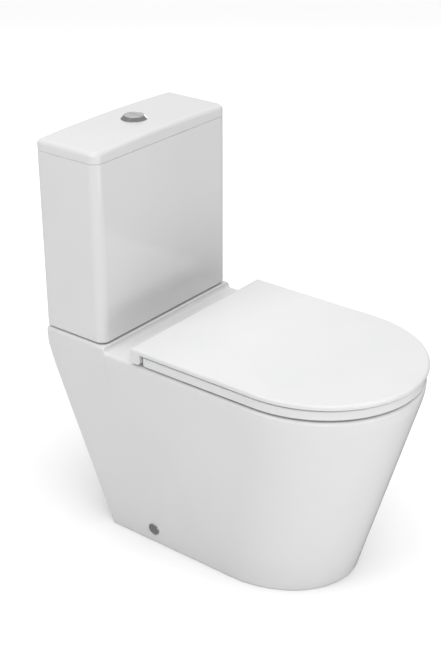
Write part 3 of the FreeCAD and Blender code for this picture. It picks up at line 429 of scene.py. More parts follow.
def shelfRise(depth):
    # how far the top stands above the deck at a distance from the wall
    rise = panHigh.z - pan["deck"]
    past = depth - pan["shelfEdge"]
    convex, hollow = pan["shelfRound"], pan["shelfHollow"]
    if past <= 0:
        return rise
    if past <= convex:
        return rise - convex + math.sqrt(max(convex ** 2 - past ** 2, 0))
    past -= convex
    if past <= hollow:
        return hollow - math.sqrt(max(hollow ** 2 - (hollow - past) ** 2, 0))
    return 0.0


def shelfDepths():
    convex, hollow, edge = pan["shelfRound"], pan["shelfHollow"], pan["shelfEdge"]
    depths = [0.0, 0.03, 0.07, 0.11, edge]
    depths += [edge + convex * math.sin(math.radians(angle)) for angle in (22, 45, 67, 90)]
    depths += [edge + convex + hollow * (1 - math.cos(math.radians(angle))) for angle in (22, 45, 67, 90)]
    return depths + [pan["shelfEnd"]]


def panPlan(level, inset, lift=0.0):
    # left rear corner, round the front, to the right rear corner
    share = panShare(level)
    rearHalf = between(pan["baseHalf"], pan["rearHalf"], share)
    half = between(pan["baseHalf"], pan["rimHalf"], share)
    middle = between(pan["baseOval"], pan["rimOval"], share)
    reach = between(pan["baseReach"], pan["rimReach"], share) - inset
    back, corner = pan["baseBack"] * max(0.0, 1 - level / pan["slantTop"]), pan["rearRound"]
    raised = min(max((level - pan["riseStart"]) / (pan["deck"] - pan["riseStart"]), 0.0), 1.0)
    side = [(back + drop, tuck) for drop, tuck in arcSteps(corner, 3)[:3]]
    end, count = pan["shelfEnd"], pan["sideRows"]
    side += [(between(back + corner, end, depth / end), 0.0) for depth in shelfDepths()]
    side += [(between(end, middle, step / count), 0.0) for step in range(1, count)]
    points = []
    for depth, tuck in side:
        flare = between(rearHalf, half, depth / middle)
        points.append((-(flare - inset - tuck), wallY - depth, level + raised * shelfRise(depth) - lift))
    front = []
    for step in range(pan["frontRows"] + 1):
        angle = -math.pi / 2 + math.pi * step / pan["frontRows"]
        y = wallY - middle - (reach - middle) * math.cos(angle)
        front.append(((half - inset) * math.sin(angle), y, level - lift))
    return points + front + [(-x, y, z) for x, y, z in reversed(points)]


def bowlRow(drop, grow, sink=0.0):
    # an oval of the bowl; drop runs from 0 at the deck to 1 at the sump
    squeeze = (3 * drop ** 2 - 2 * drop ** 3) ** pan["squeeze"]
    half = between(pan["bowlHalf"], pan["sumpHalf"], squeeze) + grow
    length = between(pan["bowlLength"], pan["sumpLength"], squeeze) + grow
    centre = between(pan["bowlCentre"], pan["sumpCentre"], drop ** pan["lean"])
    return ovalLoop(half, length, centre, between(pan["deck"], pan["sumpLevel"], drop) - sink)


def panShell():
    mesh = bmesh.new()
    rim, foot = pan["rimRound"], pan["footRound"]
    bend = pan["deck"] - pan["blend"]
    levels = [foot] + [foot + (bend - foot) * step / 9 for step in range(1, 10)]
    levels += [bend + (pan["blend"] - rim) * step / 5 for step in range(1, 6)]
    rows = [panPlan(drop, inset) for inset, drop in reversed(arcSteps(foot, 4))]
    rows += [panPlan(level, 0.0) for level in levels[1:]]
    rows += [panPlan(pan["deck"], inset, drop) for inset, drop in arcSteps(rim, 6)[1:]]
    made = loopRows(mesh, rows, True, False)
    top = made[-1]
    across = 3 + len(shelfDepths())
    for index in range(across - 1):
        mesh.faces.new([top[index], top[index + 1], top[-2 - index], top[-1 - index]])
    mesh.faces.new(top[across - 1:len(top) - across + 1])
    return toObject(mesh, "panShell", glaze)


def panHollow():
    # the open space inside the skirt, open at the floor and at the wall
    inset, ceiling = pan["wall"], pan["ceiling"]
    rows = []
    levels = [-0.01] + [(pan["deck"] - pan["blend"]) * step / 8 for step in range(9)]
    for level in levels + [ceiling - 0.004, ceiling - 0.001, ceiling]:
        tuck = {ceiling - 0.001: 0.003, ceiling: 0.006}.get(level, 0.0)
        row = panPlan(max(level, 0.0), inset + tuck)
        backmost = [(row[end][0], wallY + 0.02, level) for end in (-1, 0)]
        rows.append([(x, y, level) for x, y, _ in row] + backmost)
    return loopSolid("hollow", rows)


def bowlOutside():
    steps = pan["bowlRows"]
    start = (pan["deck"] - 0.390) / (pan["deck"] - pan["sumpLevel"])
    rows = [bowlRow(between(start, 1.0, step / steps), pan["bowlWall"], pan["bowlWall"] * step / steps)
            for step in range(steps + 1)]
    return loopSolid("outerBowl", list(reversed(rows)))


def bowlInside():
    steps, deep, lip = pan["bowlRows"], pan["deck"] - pan["sumpLevel"], pan["bowlRound"]

    def lipLoop(inset, level):
        return ovalLoop(pan["bowlHalf"] + inset, pan["bowlLength"] + inset, pan["bowlCentre"], level)

    rows = [lipLoop(lip, pan["deck"] + 0.02)]
    for inset, drop in reversed(arcSteps(lip, 6)):
        rows.append(lipLoop(inset, pan["deck"] - drop + (0.00005 if drop < 1e-5 else 0.0)))
    for step in range(1, steps + 1):
        drop = between(lip / deep, 1.0, step / steps)
        below = drop * deep
        ledge = pan["ledge"] * min(max((below - 0.014) / 0.010, 0), 1)
        ledge *= min(max((0.056 - below) / 0.008, 0), 1)
        rows.append(bowlRow(drop, ledge))
    for share in (0.9, 0.7, 0.4):
        rows.append(ovalLoop(pan["sumpHalf"] * share, pan["sumpLength"] * share, pan["sumpCentre"],
                             pan["sumpLevel"] - 0.006 * (1 - share)))
    return loopSolid("innerBowl", list(reversed(rows)))


def spigotLip():
    # the outlet's end with its round lip, (depth, radius) pairs from inside to out
    radius, end = waterway["spigot"], waterway["end"]
    lip = [(0.1005, 0.0472), (0.1000, 0.0495), (0.0990, 0.0508), (0.0975, radius), (end + 0.003, radius),
           (end + 0.001, radius - 0.0007), (end, radius - 0.0022)]
    return loopSolid("spigot", [[(x, wallY - depth, waterway["outlet"] + z) for x, z in circle(around, 64)]
                                for depth, around in lip])


def ductBlock(name, wall, spread, rounding):
    # the passage from under the cistern to the bowl, or its bore one wall smaller
    size = waterway
    half, far, near = size["ductHalf"] - wall, size["ductFar"] + spread, size["ductNear"] + wall
    block = blockMesh(name, (-half, wallY - far, size["ductFoot"] + wall), (half, wallY - near, size["ductTop"] - wall))
    bevelBlock(block, rounding)
    return block


def panHoles():
    recess = hole["recess"]
    step = recess + 0.0015
    profile = [(recess, 0.383), (recess, 0.4055), (step, 0.4071), (step, 0.420)]
    holes = [turnedSolid("recess", profile, (0, valveY, 0)),
             rodMesh("inlet", (0, valveY, 0.370), (0, valveY, 0.390), hole["passage"])]
    for side in (-1, 1):
        for x, y in ((boltSpread, valveY), (hingeSpread, hingeY)):
            holes.append(rodMesh("deckHole", (side * x, y, 0.35), (side * x, y, 0.42), hole["bolt"], 32))
    holes.append(rodMesh("fillHole", (hole["fillX"], valveY, 0.35), (hole["fillX"], valveY, 0.42), hole["fill"]))
    for side, capNode in ((-1, "screw_cap_left"), (1, "screw_cap_right")):
        seat, outward = capLine(side, capNode)
        holes.append(rodMesh("sideHole", seat - outward * 0.03, seat + outward * 0.02, hole["side"], 32))
    return holes


def buildPan():
    shell = panShell()
    carve(shell, [panHollow()], "DIFFERENCE")
    size = waterway
    path = bendPath([(size["start"], size["low"]), (size["foot"], size["low"]), size["weir"],
                     (size["turn"], size["outlet"]), (size["end"], size["outlet"])], size["bend"])
    outerTrap = sweptTube("outerTrap", path[:-1] + [(size["spigotStart"], size["outlet"])], size["outer"])
    carve(shell, [bowlOutside(), outerTrap, spigotLip(), ductBlock("duct", 0.0, 0.0, 0.006)], "UNION")
    innerPath = [(size["start"] + 0.006, size["low"])] + path[1:-1] + [(size["end"] - 0.006, size["outlet"])]
    innerTrap = sweptTube("innerTrap", innerPath, size["bore"])
    ductHole = ductBlock("ductHole", size["ductWall"], 0.004, 0.004)
    carve(shell, [bowlInside(), innerTrap, ductHole] + panHoles(), "DIFFERENCE")
    shell.name = shell.data.name = "toiletPan"
    smoothPiece(shell, 35.0)
    settle(shell, "root", "ceramic", "pan_skirt", "pan_bowl", "pan_trap")


def turnedSolid(name, profile, centre, around=64, material=None):
    # a closed piece from (radius, height) pairs bottom to top
    rows = [[(centre[0] + x, centre[1] + y, centre[2] + height) for x, y in circle(radius, around)]
            for radius, height in profile]
    return loopSolid(name, rows, material)


def capLine(side, capNode):
    # where a screw cap sits and the way out of the leaning side
    low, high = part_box(capNode)
    middle = (Vector(low) + Vector(high)) / 2
    lean = (pan["rimHalf"] - pan["baseHalf"]) / pan["deck"]
    outward = Vector((side, 0, -lean)).normalized()
    return middle - outward * 0.0013, outward


tank = {
    "footHalf": 0.1769, "topHalf": 0.1775, "depth": 0.138, "frontCorner": 0.018, "rearCorner": 0.008,
    "footRound": 0.005, "rimRound": 0.0012, "wall": 0.009, "floor": 0.012, "innerRound": 0.006,
    "innerRear": 0.007, "innerFront": 0.010, "valveHole": 0.032, "fillHole": 0.011, "boltHole": 0.005,
}


def buildTank():
    low, high = tankLow.z, tankHigh.z

    def half(level):
        return between(tank["footHalf"], tank["topHalf"], (level - low) / (high - low))

    def row(level, inset):
        rear = tank["rearCorner"] - min(inset, 0.006)
        return roundedLoop(half(level) - inset, inset, tank["depth"] - inset, rear, tank["frontCorner"] - inset, level)

    rows = [row(low + drop, inset) for inset, drop in reversed(arcSteps(tank["footRound"], 6))]
    rows += [row(low + 0.005 + (high - low - 0.0062) * step / 12, 0.0) for step in range(1, 13)]
    rows += [row(high - drop, inset) for inset, drop in arcSteps(tank["rimRound"], 3)[1:]]
    shell = loopSolid("tankShell", rows, glaze)
    floor, wall = low + tank["floor"], tank["wall"]

    def innerRow(level, inset):
        rear, front = tank["innerRear"] - min(inset, 0.005), tank["innerFront"] - min(inset, 0.008)
        inset += wall
        return roundedLoop(half(level) - inset, inset, tank["depth"] - inset, rear, front, level)

    lift = tank["innerRound"]
    rise = high - floor - lift - 0.001
    innerRows = [innerRow(floor + drop, inset) for inset, drop in reversed(arcSteps(lift, 5))]
    innerRows += [innerRow(floor + lift + rise * step / 6, 0.0) for step in range(1, 7)]
    innerRows += [innerRow(high - 0.0004, -0.0004), innerRow(high + 0.01, -0.0008)]
    holes = [loopSolid("tankHollow", innerRows)]
    for x, radius, around in ((0, tank["valveHole"], 64), (hole["fillX"], tank["fillHole"], 32),
                              (-boltSpread, tank["boltHole"], 32), (boltSpread, tank["boltHole"], 32)):
        holes.append(rodMesh("floorHole", (x, valveY, low - 0.01), (x, valveY, floor + 0.01), radius, around))
    carve(shell, holes, "DIFFERENCE")
    shell.name = shell.data.name = "cisternTank"
    smoothPiece(shell, 35.0)
    settle(shell, "root", "ceramic", "cistern_tank")


tankLid = {
    "half": 0.1775, "depth": 0.138, "crown": 0.0045, "topRound": 0.0085, "footRound": 0.0018, "skin": 0.011,
    "margin": 0.012, "sleeve": 0.0205,
    "lipDrop": 0.008, "lipWall": 0.005, "lipEdge": 0.0105, "frontCorner": 0.018, "rearCorner": 0.008,
}


def buildTankLid():
    low, high = tankLidLow.z + tankLid["lipDrop"], tankLidHigh.z
    half, depth = tankLid["half"], tankLid["depth"]

    def crowned(points, drop):
        return [(x, y, high - tankLid["crown"] * (x / half) ** 2 - drop) for x, y, _ in points]

    def row(inset, level=0.0):
        return roundedLoop(half - inset, inset, depth - inset, max(tankLid["rearCorner"] - inset, 0.0012),
                           max(tankLid["frontCorner"] - inset, 0.002), level, 10, 18)

    def under(inset, rear, front, level):
        return roundedLoop(half - inset, inset, depth - inset, rear, front, level)

    rows = [row(inset, low + drop) for inset, drop in reversed(arcSteps(tankLid["footRound"], 4))]
    rows += [crowned(row(inset), drop) for inset, drop in arcSteps(tankLid["topRound"], 9)]
    mesh = bmesh.new()
    top = loopRows(mesh, rows, True, False)[-1]
    arc, run = 11, 17
    rightFront, right = top[:arc], top[arc:arc + run]
    rightBack, back = top[arc + run:2 * arc + run], top[2 * arc + run:2 * (arc + run)]
    leftBack, left = top[2 * (arc + run):3 * arc + 2 * run], top[3 * arc + 2 * run:3 * (arc + run)]
    leftFront, front = top[3 * (arc + run):4 * arc + 3 * run], top[4 * arc + 3 * run:]
    near = leftFront + front + rightFront
    far = list(reversed(rightBack + back + leftBack))
    for index in range(len(near) - 1):
        corners = [near[index], near[index + 1], far[index + 1], far[index]]
        if index == 0:
            corners += left
        if index == len(near) - 2:
            corners[2:2] = right
        mesh.faces.new(corners)
    shell = toObject(mesh, "tankLidShell", glaze)
    hollowTop = high - tankLid["skin"]
    hollow = []
    for inset, level in ((0, low - 0.01), (0, low + 0.004), (0, hollowTop - 0.004), (0.0012, hollowTop - 0.0012),
                         (0.004, hollowTop)):
        hollow.append(under(tankLid["margin"] + inset, 0.004 - min(inset, 0.003), 0.009 - inset, level))
    sleeveFoot, sleeveTop = (0, valveY, hollowTop - 0.02), (0, valveY, high + 0.02)
    sleeve = rodMesh("sleeveHole", sleeveFoot, sleeveTop, tankLid["sleeve"], 64)
    carve(shell, [loopSolid("lidHollow", hollow), sleeve], "DIFFERENCE")
    edge, foot = tankLid["lipEdge"], tankLidLow.z
    inner = edge + tankLid["lipWall"]
    outside = ((0.0008, foot), (0.0, foot + 0.0012), (0.0, low + 0.002))
    inside = ((-0.0008, foot - 0.001), (0.0, foot + 0.0012), (0.0, low + 0.006))
    lip = loopSolid("lidLip", [under(edge + inset, 0.004, 0.009, level) for inset, level in outside])
    well = loopSolid("lidWell", [under(inner + inset, 0.003, 0.006, level) for inset, level in inside])
    carve(lip, [well], "DIFFERENCE")
    carve(shell, [lip], "UNION")
    shell.name = shell.data.name = "cisternLid"
    smoothPiece(shell, 32.0)
    settle(shell, "root", "ceramic", "cistern_lid")


seatLid = {
    "half": 0.1847, "back": 0.207, "oval": 0.470, "reach": 0.667, "topRound": 0.0045, "footRound": 0.0018,
    "rearCorner": 0.004, "foot": 0.4208, "dome": 0.0006, "domeSpread": 0.150, "rimWidth": 0.009,
    "blockStart": 0.150, "blockReach": 0.228, "blockRound": 0.006,
}


def seatLoop(half, back, oval, reach, corner, level, frontSteps=64, sideSteps=10, backSteps=16):
    # straight back and sides with a half oval front, rear corners rounded
    points = []
    for step in range(frontSteps + 1):
        angle = -math.pi / 2 + math.pi * step / frontSteps
        points.append((half * math.sin(angle), wallY - oval - (reach - oval) * math.cos(angle), level))
    side = [(half, oval + (back + corner - oval) * step / sideSteps) for step in range(1, sideSteps)]
    for step in range(5):
        angle = math.radians(90 * step / 4)
        side.append((half - corner * (1 - math.cos(angle)), back + corner * (1 - math.sin(angle))))
    points += [(x, wallY - depth, level) for x, depth in side]
    for step in range(1, backSteps):
        points.append(((half - corner) * (1 - 2 * step / backSteps), wallY - back, level))
    return points + [(-x, wallY - depth, level) for x, depth in reversed(side)]


def pinBores(inner, outer):
    # the hinge pins' bores, left and right
    return [rodMesh("pinBore", (side * inner, hingeY, hingeZ), (side * outer, hingeY, hingeZ), 0.00305, 32)
            for side in (-1, 1)]


def hingeBlock(side, high):
    # the lid's end that wraps down in front of the hinge pin
    size = seatLid
    xLow, xHigh = sorted((side * size["blockStart"], side * (size["half"] - 0.0001)))
    frontY = wallY - size["blockReach"]
    block = blockMesh("block", (xLow, frontY, lidLow.z), (xHigh, wallY - size["back"] - 0.0001, high - 0.0035))
    mesh = bmesh.new()
    mesh.from_mesh(block.data)
    lowFront = [edge for edge in mesh.edges
                if all(vert.co.z < lidLow.z + 1e-5 and vert.co.y < frontY + 1e-5 for vert in edge.verts)]
    bmesh.ops.bevel(mesh, geom=lowFront, offset=size["blockRound"], segments=8, profile=0.5, affect="EDGES")
    mesh.to_mesh(block.data)
    mesh.free()
    bevelBlock(block, 0.0012, 3, 50.0)
    return block


def buildSeatLid():
    size = seatLid
    low, high = size["foot"], lidHigh.z

    def row(inset, level):
        return seatLoop(size["half"] - inset, size["back"] + inset, size["oval"], size["reach"] - inset,
                        max(size["rearCorner"] - inset, 0.0012), level)

    rows = [row(inset, low + drop) for inset, drop in reversed(arcSteps(size["footRound"], 4))]
    rows += [row(inset, high - size["dome"] - drop) for inset, drop in arcSteps(size["topRound"], 7)]
    for step in range(1, 10):
        share = step / 9
        rows.append(row(size["topRound"] + size["domeSpread"] * share, high - size["dome"] * (1 - share) ** 2))
    shell = loopSolid("seatLidShell", rows, seatResin)
    under = [row(size["rimWidth"] + inset, low + lift)
             for inset, lift in ((0.0, -0.004), (0.0, 0.0012), (0.0010, 0.0025), (0.004, 0.003))]
    carve(shell, [loopSolid("lidUnder", under)], "DIFFERENCE")
    carve(shell, [hingeBlock(side, high) for side in (-1, 1)], "UNION")
    carve(shell, pinBores(0.145, 0.177), "DIFFERENCE")
    shell.name = shell.data.name = "seatLid"
    smoothPiece(shell, 32.0)
    settle(shell, "seat_lid_body", "seat_resin", "seat_lid")


seatRing = {
    "half": 0.1824, "back": 0.2315, "oval": 0.470, "reach": 0.6625, "topRound": 0.0020, "footRound": 0.0016,
    "rearCorner": 0.006, "holeHalf": 0.108, "holeLength": 0.150, "holeCentre": 0.430, "holeRound": 0.006,
    "top": 0.4182, "knuckle": 0.0072, "armInner": 0.0952, "armOuter": 0.1478, "armReach": 0.027,
}


def buildSeatRing():
    size = seatRing
    low, high = ringLow.z, size["top"]

    def row(inset, level):
        return seatLoop(size["half"] - inset, size["back"] + inset, size["oval"], size["reach"] - inset,
                        max(size["rearCorner"] - inset, 0.0012), level)

    def holeRow(grow, level):
        return ovalLoop(size["holeHalf"] + grow, size["holeLength"] + grow, size["holeCentre"], level)

    rows = [row(inset, low + drop) for inset, drop in reversed(arcSteps(size["footRound"], 4))]
    rows += [row(inset, high - drop) for inset, drop in arcSteps(size["topRound"], 7)]
    shell = loopSolid("seatRingShell", rows, seatResin)
    holeRows = [holeRow(grow, low + lift)
                for grow, lift in ((0.002, -0.005), (0.002, -0.00005), (0.0006, 0.0006), (0.0, 0.002))]
    for inset, drop in arcSteps(size["holeRound"], 8):
        holeRows.append(holeRow(inset, high - drop + (0.00005 if drop < 1e-5 else 0.0)))
    holeRows.append(holeRow(size["holeRound"], high + 0.01))
    carve(shell, [loopSolid("ringHole", holeRows)], "DIFFERENCE")
    arms = []
    for side in (-1, 1):
        xLow, xHigh = sorted((side * size["armInner"], side * size["armOuter"]))
        arm = blockMesh("arm", (xLow, hingeY - size["armReach"], hingeZ - 0.004), (xHigh, hingeY, ringHigh.z - 0.0057))
        knuckle = rodMesh("knuckle", (xLow, hingeY, hingeZ), (xHigh, hingeY, hingeZ), size["knuckle"], 48)
        carve(arm, [knuckle], "UNION")
        bevelBlock(arm, 0.0012, 3, 50.0)
        arms.append(arm)
    carve(shell, arms, "UNION")
    carve(shell, pinBores(0.090, 0.153), "DIFFERENCE")
    shell.name = shell.data.name = "seatRing"
    smoothPiece(shell, 32.0)
    settle(shell, "seat_ring_body", "seat_resin", "seat_ring")


button = {
    "radius": 0.0240, "face": 0.0172, "sleeve": 0.0195, "bore": 0.0175, "rise": 0.0065, "split": 0.0040,
    "gap": 0.0006, "depth": 0.024, "rodX": 0.012, "rodY": 0.007, "socket": 0.00255,
}


def buildBezel():
    size, foot, top = button, bezelLow.z, bezelHigh.z
    skirt, radius, face, bore, sleeve = top - size["rise"], size["radius"], size["face"], size["bore"], size["sleeve"]
    outline = [(bore, foot), (sleeve - 0.0006, foot), (sleeve, foot + 0.0006), (sleeve, skirt),
               (radius - 0.0004, skirt), (radius, skirt + 0.0004), (radius, skirt + 0.0009),
               (radius - 0.0005, skirt + 0.0014), (face + 0.0016, top - 0.0004), (face + 0.0010, top - 0.00005),
               (bore + 0.0003, top - 0.0001), (bore, top - 0.0005)]
    bezel = turnedMesh("buttonBezel", outline, (0, valveY, 0), 96, polishedChrome)
    smoothPiece(bezel, 30.0)
    settle(bezel, "root", "chrome", "button_bezel")


def buildButtonHalf(name, node, body, side, low, high):
    size, top = button, bezelHigh.z
    foot = top - size["depth"]
    disc = turnedSolid(name, [(size["face"], foot), (size["face"], top)], (0, valveY, 0), 96, polishedChrome)
    carve(disc, [blockMesh("keep", (low, valveY - 0.03, top - 0.05), (high, valveY + 0.03, top + 0.02))], "INTERSECT")
    x, y = side * size["rodX"], valveY + side * size["rodY"]
    carve(disc, [rodMesh("socket", (x, y, top - 0.04), (x, y, foot + 0.010), size["socket"], 24)], "DIFFERENCE")
    bevelBlock(disc, 0.00055, 3, 60.0)
    smoothPiece(disc, 40.0)
    settle(disc, body, "chrome", node)


def buildButton():
    buildBezel()
    split, gap = button["split"], button["gap"] / 2
    buildButtonHalf("buttonFull", "button_full", "full_button_body", -1, -0.03, split - gap)
    buildButtonHalf("buttonHalf", "button_half", "half_button_body", 1, split + gap, 0.03)


def buildCaps():
    profile = [(0.0004, 0.0), (0.0116, 0.0), (0.0120, 0.0003), (0.0120, 0.0012), (0.0117, 0.0019),
               (0.0109, 0.0023), (0.0090, 0.00238), (0.0050, 0.00246), (0.0004, 0.0025)]
    for side, node in ((-1, "screw_cap_left"), (1, "screw_cap_right")):
        middle, outward = capLine(side, node)
        turn = Vector((0, 0, 1)).rotation_difference(outward).to_matrix().to_4x4()
        # the caps' darker chrome paints in a dark reflection
        cap = turnedSolid("screwCap" + ("Left" if side < 0 else "Right"), profile, (0, 0, 0), 64, satinChromePaintedDarkReflection)
        cap.data.transform(Matrix.Translation(middle) @ turn)
        smoothPiece(cap, 30.0)
        settle(cap, "root", "chrome", node)


post = {"foot": 0.014, "halfWidth": 0.0155, "halfDepth": 0.0055, "barrel": 0.007, "pinBore": 0.003, "socket": 0.004}


def buildPosts():
    size, deck, half, rim = post, pan["deck"], post["halfWidth"], post["foot"]
    profile = [(rim - 0.0004, deck), (rim, deck + 0.0003), (rim, deck + 0.0014), (rim - 0.0005, deck + 0.002)]
    for side, node in ((-1, "hinge_post_left"), (1, "hinge_post_right")):
        x = side * hingeSpread
        name = "hingePost" + ("Left" if side < 0 else "Right")
        foot = turnedSolid(name, profile, (x, hingeY, 0), 64, polishedChrome)
        stem = blockMesh("stem", (x - half, hingeY - size["halfDepth"], deck + 0.0005),
                         (x + half, hingeY + size["halfDepth"], hingeZ))
        barrel = rodMesh("barrel", (x - half, hingeY, hingeZ), (x + half, hingeY, hingeZ), size["barrel"], 64)
        carve(stem, [barrel], "UNION")
        bevelBlock(stem, 0.0008, 3, 50.0)
        carve(foot, [stem], "UNION")
        bore = rodMesh("bore", (x - 0.02, hingeY, hingeZ), (x + 0.02, hingeY, hingeZ), size["pinBore"], 32)
        socket = rodMesh("socket", (x, hingeY, 0.39), (x, hingeY, 0.406), size["socket"], 32)
        carve(foot, [bore, socket], "DIFFERENCE")
        smoothPiece(foot, 35.0)
        settle(foot, "root", "chrome", node)


def makeRepeatTree():
    # copies of a piece along a line, each turned a little about its upright axis
    tree = bpy.data.node_groups.new("repeatPiece", "GeometryNodeTree")
    sockets = (("Piece", "NodeSocketGeometry"), ("Count", "NodeSocketInt"), ("Start", "NodeSocketVector"),
               ("Step", "NodeSocketVector"), ("Turn", "NodeSocketFloat"), ("Seed", "NodeSocketInt"),
               ("Material", "NodeSocketMaterial"))
    for label, kind in sockets:
        tree.interface.new_socket(label, in_out="INPUT", socket_type=kind)
    tree.interface.new_socket("Geometry", in_out="OUTPUT", socket_type="NodeSocketGeometry")
    nodes, links = tree.nodes, tree.links
    given, out = nodes.new("NodeGroupInput"), nodes.new("NodeGroupOutput")
    line = nodes.new("GeometryNodeMeshLine")
    links.new(given.outputs["Count"], line.inputs["Count"])
    links.new(given.outputs["Start"], line.inputs["Start Location"])
    links.new(given.outputs["Step"], line.inputs["Offset"])
    chance = nodes.new("FunctionNodeRandomValue")
    links.new(given.outputs["Turn"], chance.inputs[3])
    links.new(given.outputs["Seed"], chance.inputs["Seed"])
    turn = nodes.new("ShaderNodeCombineXYZ")
    links.new(chance.outputs[1], turn.inputs["Z"])
    copies = nodes.new("GeometryNodeInstanceOnPoints")
    links.new(line.outputs["Mesh"], copies.inputs["Points"])
    links.new(given.outputs["Piece"], copies.inputs["Instance"])
    links.new(turn.outputs[0], copies.inputs["Rotation"])
    realize, paint = nodes.new("GeometryNodeRealizeInstances"), nodes.new("GeometryNodeSetMaterial")
    links.new(copies.outputs[0], realize.inputs[0])
    links.new(realize.outputs[0], paint.inputs["Geometry"])
    links.new(given.outputs["Material"], paint.inputs["Material"])
    links.new(paint.outputs[0], out.inputs[0])
    return tree


repeatTree = makeRepeatTree()


def repeatPiece(piece, count, start, step, material, turn=0.0, seed=5):
    modifier = piece.modifiers.new("repeat", "NODES")
    modifier.node_group = repeatTree
    values = {"Count": count, "Start": start, "Step": step, "Turn": turn, "Seed": seed, "Material": material}
    for socket in repeatTree.interface.items_tree:
        if socket.name in values and socket.in_out == "INPUT":
            modifier[socket.identifier] = values[socket.name]
    bakeModifiers(piece)


def joinPieces(first, others):
    mesh = bmesh.new()
    mesh.from_mesh(first.data)
    for other in others:
        mesh.from_mesh(other.data)
        data = other.data
        bpy.data.objects.remove(other)
        bpy.data.meshes.remove(data)
    mesh.to_mesh(first.data)
    mesh.free()


fastener = {
    "pitch": 0.00125, "core": 0.00345, "shank": 0.00385, "thread": 0.0040, "nutBore": 0.00405, "hubTop": 0.0080,
    "hubFoot": 0.0066, "nutHeight": 0.009, "wingHalf": 0.0015, "washerRadius": 0.012, "washer": 0.002,
}


def threadedRod(name, foot, top, plainFrom, head=None):
    # a bolt or stud standing at the origin, thread up to plainFrom
    core, shank, thread, pitch = (fastener[word] for word in ("core", "shank", "thread", "pitch"))
    profile = [(0.0020, foot), (core - 0.0003, foot + 0.0004), (core, foot + 0.0010), (core, plainFrom),
               (shank, plainFrom + 0.0006), (shank, top)]
    if head:
        radius, height = head
        profile += [(radius - 0.0005, top), (radius, top + 0.0006), (radius * 0.97, top + height * 0.45),
                    (radius * 0.80, top + height * 0.75), (radius * 0.5, top + height * 0.93),
                    (0.0006, top + height)]
    else:
        profile += [(0.0034, top + 0.0002)]
    rod = turnedSolid(name, profile, (0, 0, 0), 32, zincSteel)
    half, crest = pitch * 0.46, thread - 0.00005
    outline = [(core - 0.0002, -half), (crest, -0.00010), (crest, 0.00010), (core - 0.0002, half)]
    ridge = turnedMesh("ridge", outline, (0, 0, 0), 32)
    count = int((plainFrom - foot - 0.002) / pitch)
    repeatPiece(ridge, count, (0, 0, foot + 0.0016), (0, 0, pitch), zincSteel, 0.3)
    joinPieces(rod, [ridge])
    return rod


def wingNut(name):
    # a wing nut whose top face is at the origin
    foot, top, drop, half = fastener["hubFoot"], fastener["hubTop"], -fastener["nutHeight"], fastener["wingHalf"]
    profile = [(foot - 0.0006, drop), (foot, drop + 0.0006), (top, -0.0008), (top - 0.0006, 0.0)]
    hub = turnedSolid(name, profile, (0, 0, 0), 48, zincSteel)
    outline = [(0.004, -0.0016), (0.0120, -0.0010), (0.0150, -0.0014), (0.0166, -0.0030), (0.0170, -0.0050),
               (0.0162, -0.0074), (0.0145, -0.0088), (0.0122, -0.0089), (0.0100, -0.0078), (0.004, -0.0070)]
    wings = [flatPiece("wing", [(side * x, z) for x, z in outline], -half, half) for side in (-1, 1)]
    for wing in wings:
        bevelBlock(wing, 0.0006, 2, 40.0)
    carve(hub, wings, "UNION")
    carve(hub, [rodMesh("nutBore", (0, 0, -0.02), (0, 0, 0.01), fastener["nutBore"], 32)], "DIFFERENCE")
    return hub


def flatPiece(name, outline, back, front, material=None):
    # an (x, z) outline given its thickness along y
    mesh = bmesh.new()
    faces = [addRow(mesh, [(x, y, z) for x, z in outline]) for y in (back, front)]
    bridgeRows(mesh, faces[0], faces[1], True)
    for face in faces:
        mesh.faces.new(face)
    return toObject(mesh, name, material)


def washerRing(name):
    bore, radius, height = fastener["nutBore"], fastener["washerRadius"], fastener["washer"]
    outline = [(bore, 0.0003 - height), (bore + 0.0003, -height), (radius - 0.0004, -height),
               (radius, 0.0004 - height), (radius, -0.0004), (radius - 0.0004, 0.0), (bore + 0.0003, 0.0),
               (bore, -0.0003)]
    return turnedMesh(name, outline, (0, 0, 0), 48)


def buildFasteners():
    deck = pan["ceiling"]
    bolts = threadedRod("couplingBolts", 0.349, 0.429, 0.395, (0.0079, 0.005))
    studs = threadedRod("hingeStuds", 0.348, 0.4055, 0.390)
    sets = (("coupling", "coupling_bolts", bolts, boltSpread, valveY, zincSteel, "steel", 4),
            ("hinge", "hinge_studs", studs, hingeSpread, hingeY, blackRubber, "black_rubber", 11))
    for name, rodNode, rod, spread, y, washerMaterial, washerSlot, seed in sets:
        nut = wingNut(name + "WingNuts")
        washer = washerRing(name + "Washers")
        step = (2 * spread, 0, 0)
        repeatPiece(rod, 2, (-spread, y, 0), step, zincSteel)
        repeatPiece(nut, 2, (-spread, y, deck - fastener["washer"]), step, zincSteel, 2.4, seed)
        repeatPiece(washer, 2, (-spread, y, deck), step, washerMaterial)
        for piece in (rod, nut, washer):
            smoothPiece(piece, 38.0)
        settle(rod, "root", "steel", rodNode)
        settle(nut, "root", "steel", name + "_wing_nuts")
        settle(washer, "root", washerSlot, name + "_washers")


buffer = {
    "radius": 0.009, "foot": 0.3973, "lidTop": 0.4212, "back": (0.146, 0.330), "front": (0.128, 0.530),
    "lid": (0.133, 0.520),
}


def bufferPair(name, place, foot, top):
    # two rubber feet left and right, place is (distance from the middle, depth from the wall)
    radius, (x, depth) = buffer["radius"], buffer[place]
    profile = [(radius * 0.62, foot), (radius * 0.82, foot + 0.0001), (radius * 0.96, foot + 0.0005),
               (radius, foot + 0.0010), (radius, top - 0.0001), (radius - 0.0002, top)]
    disc = turnedSolid(name, profile, (0, 0, 0), 48, greyBuffer)
    repeatPiece(disc, 2, (-x, wallY - depth, 0), (2 * x, 0, 0), greyBuffer)
    return disc


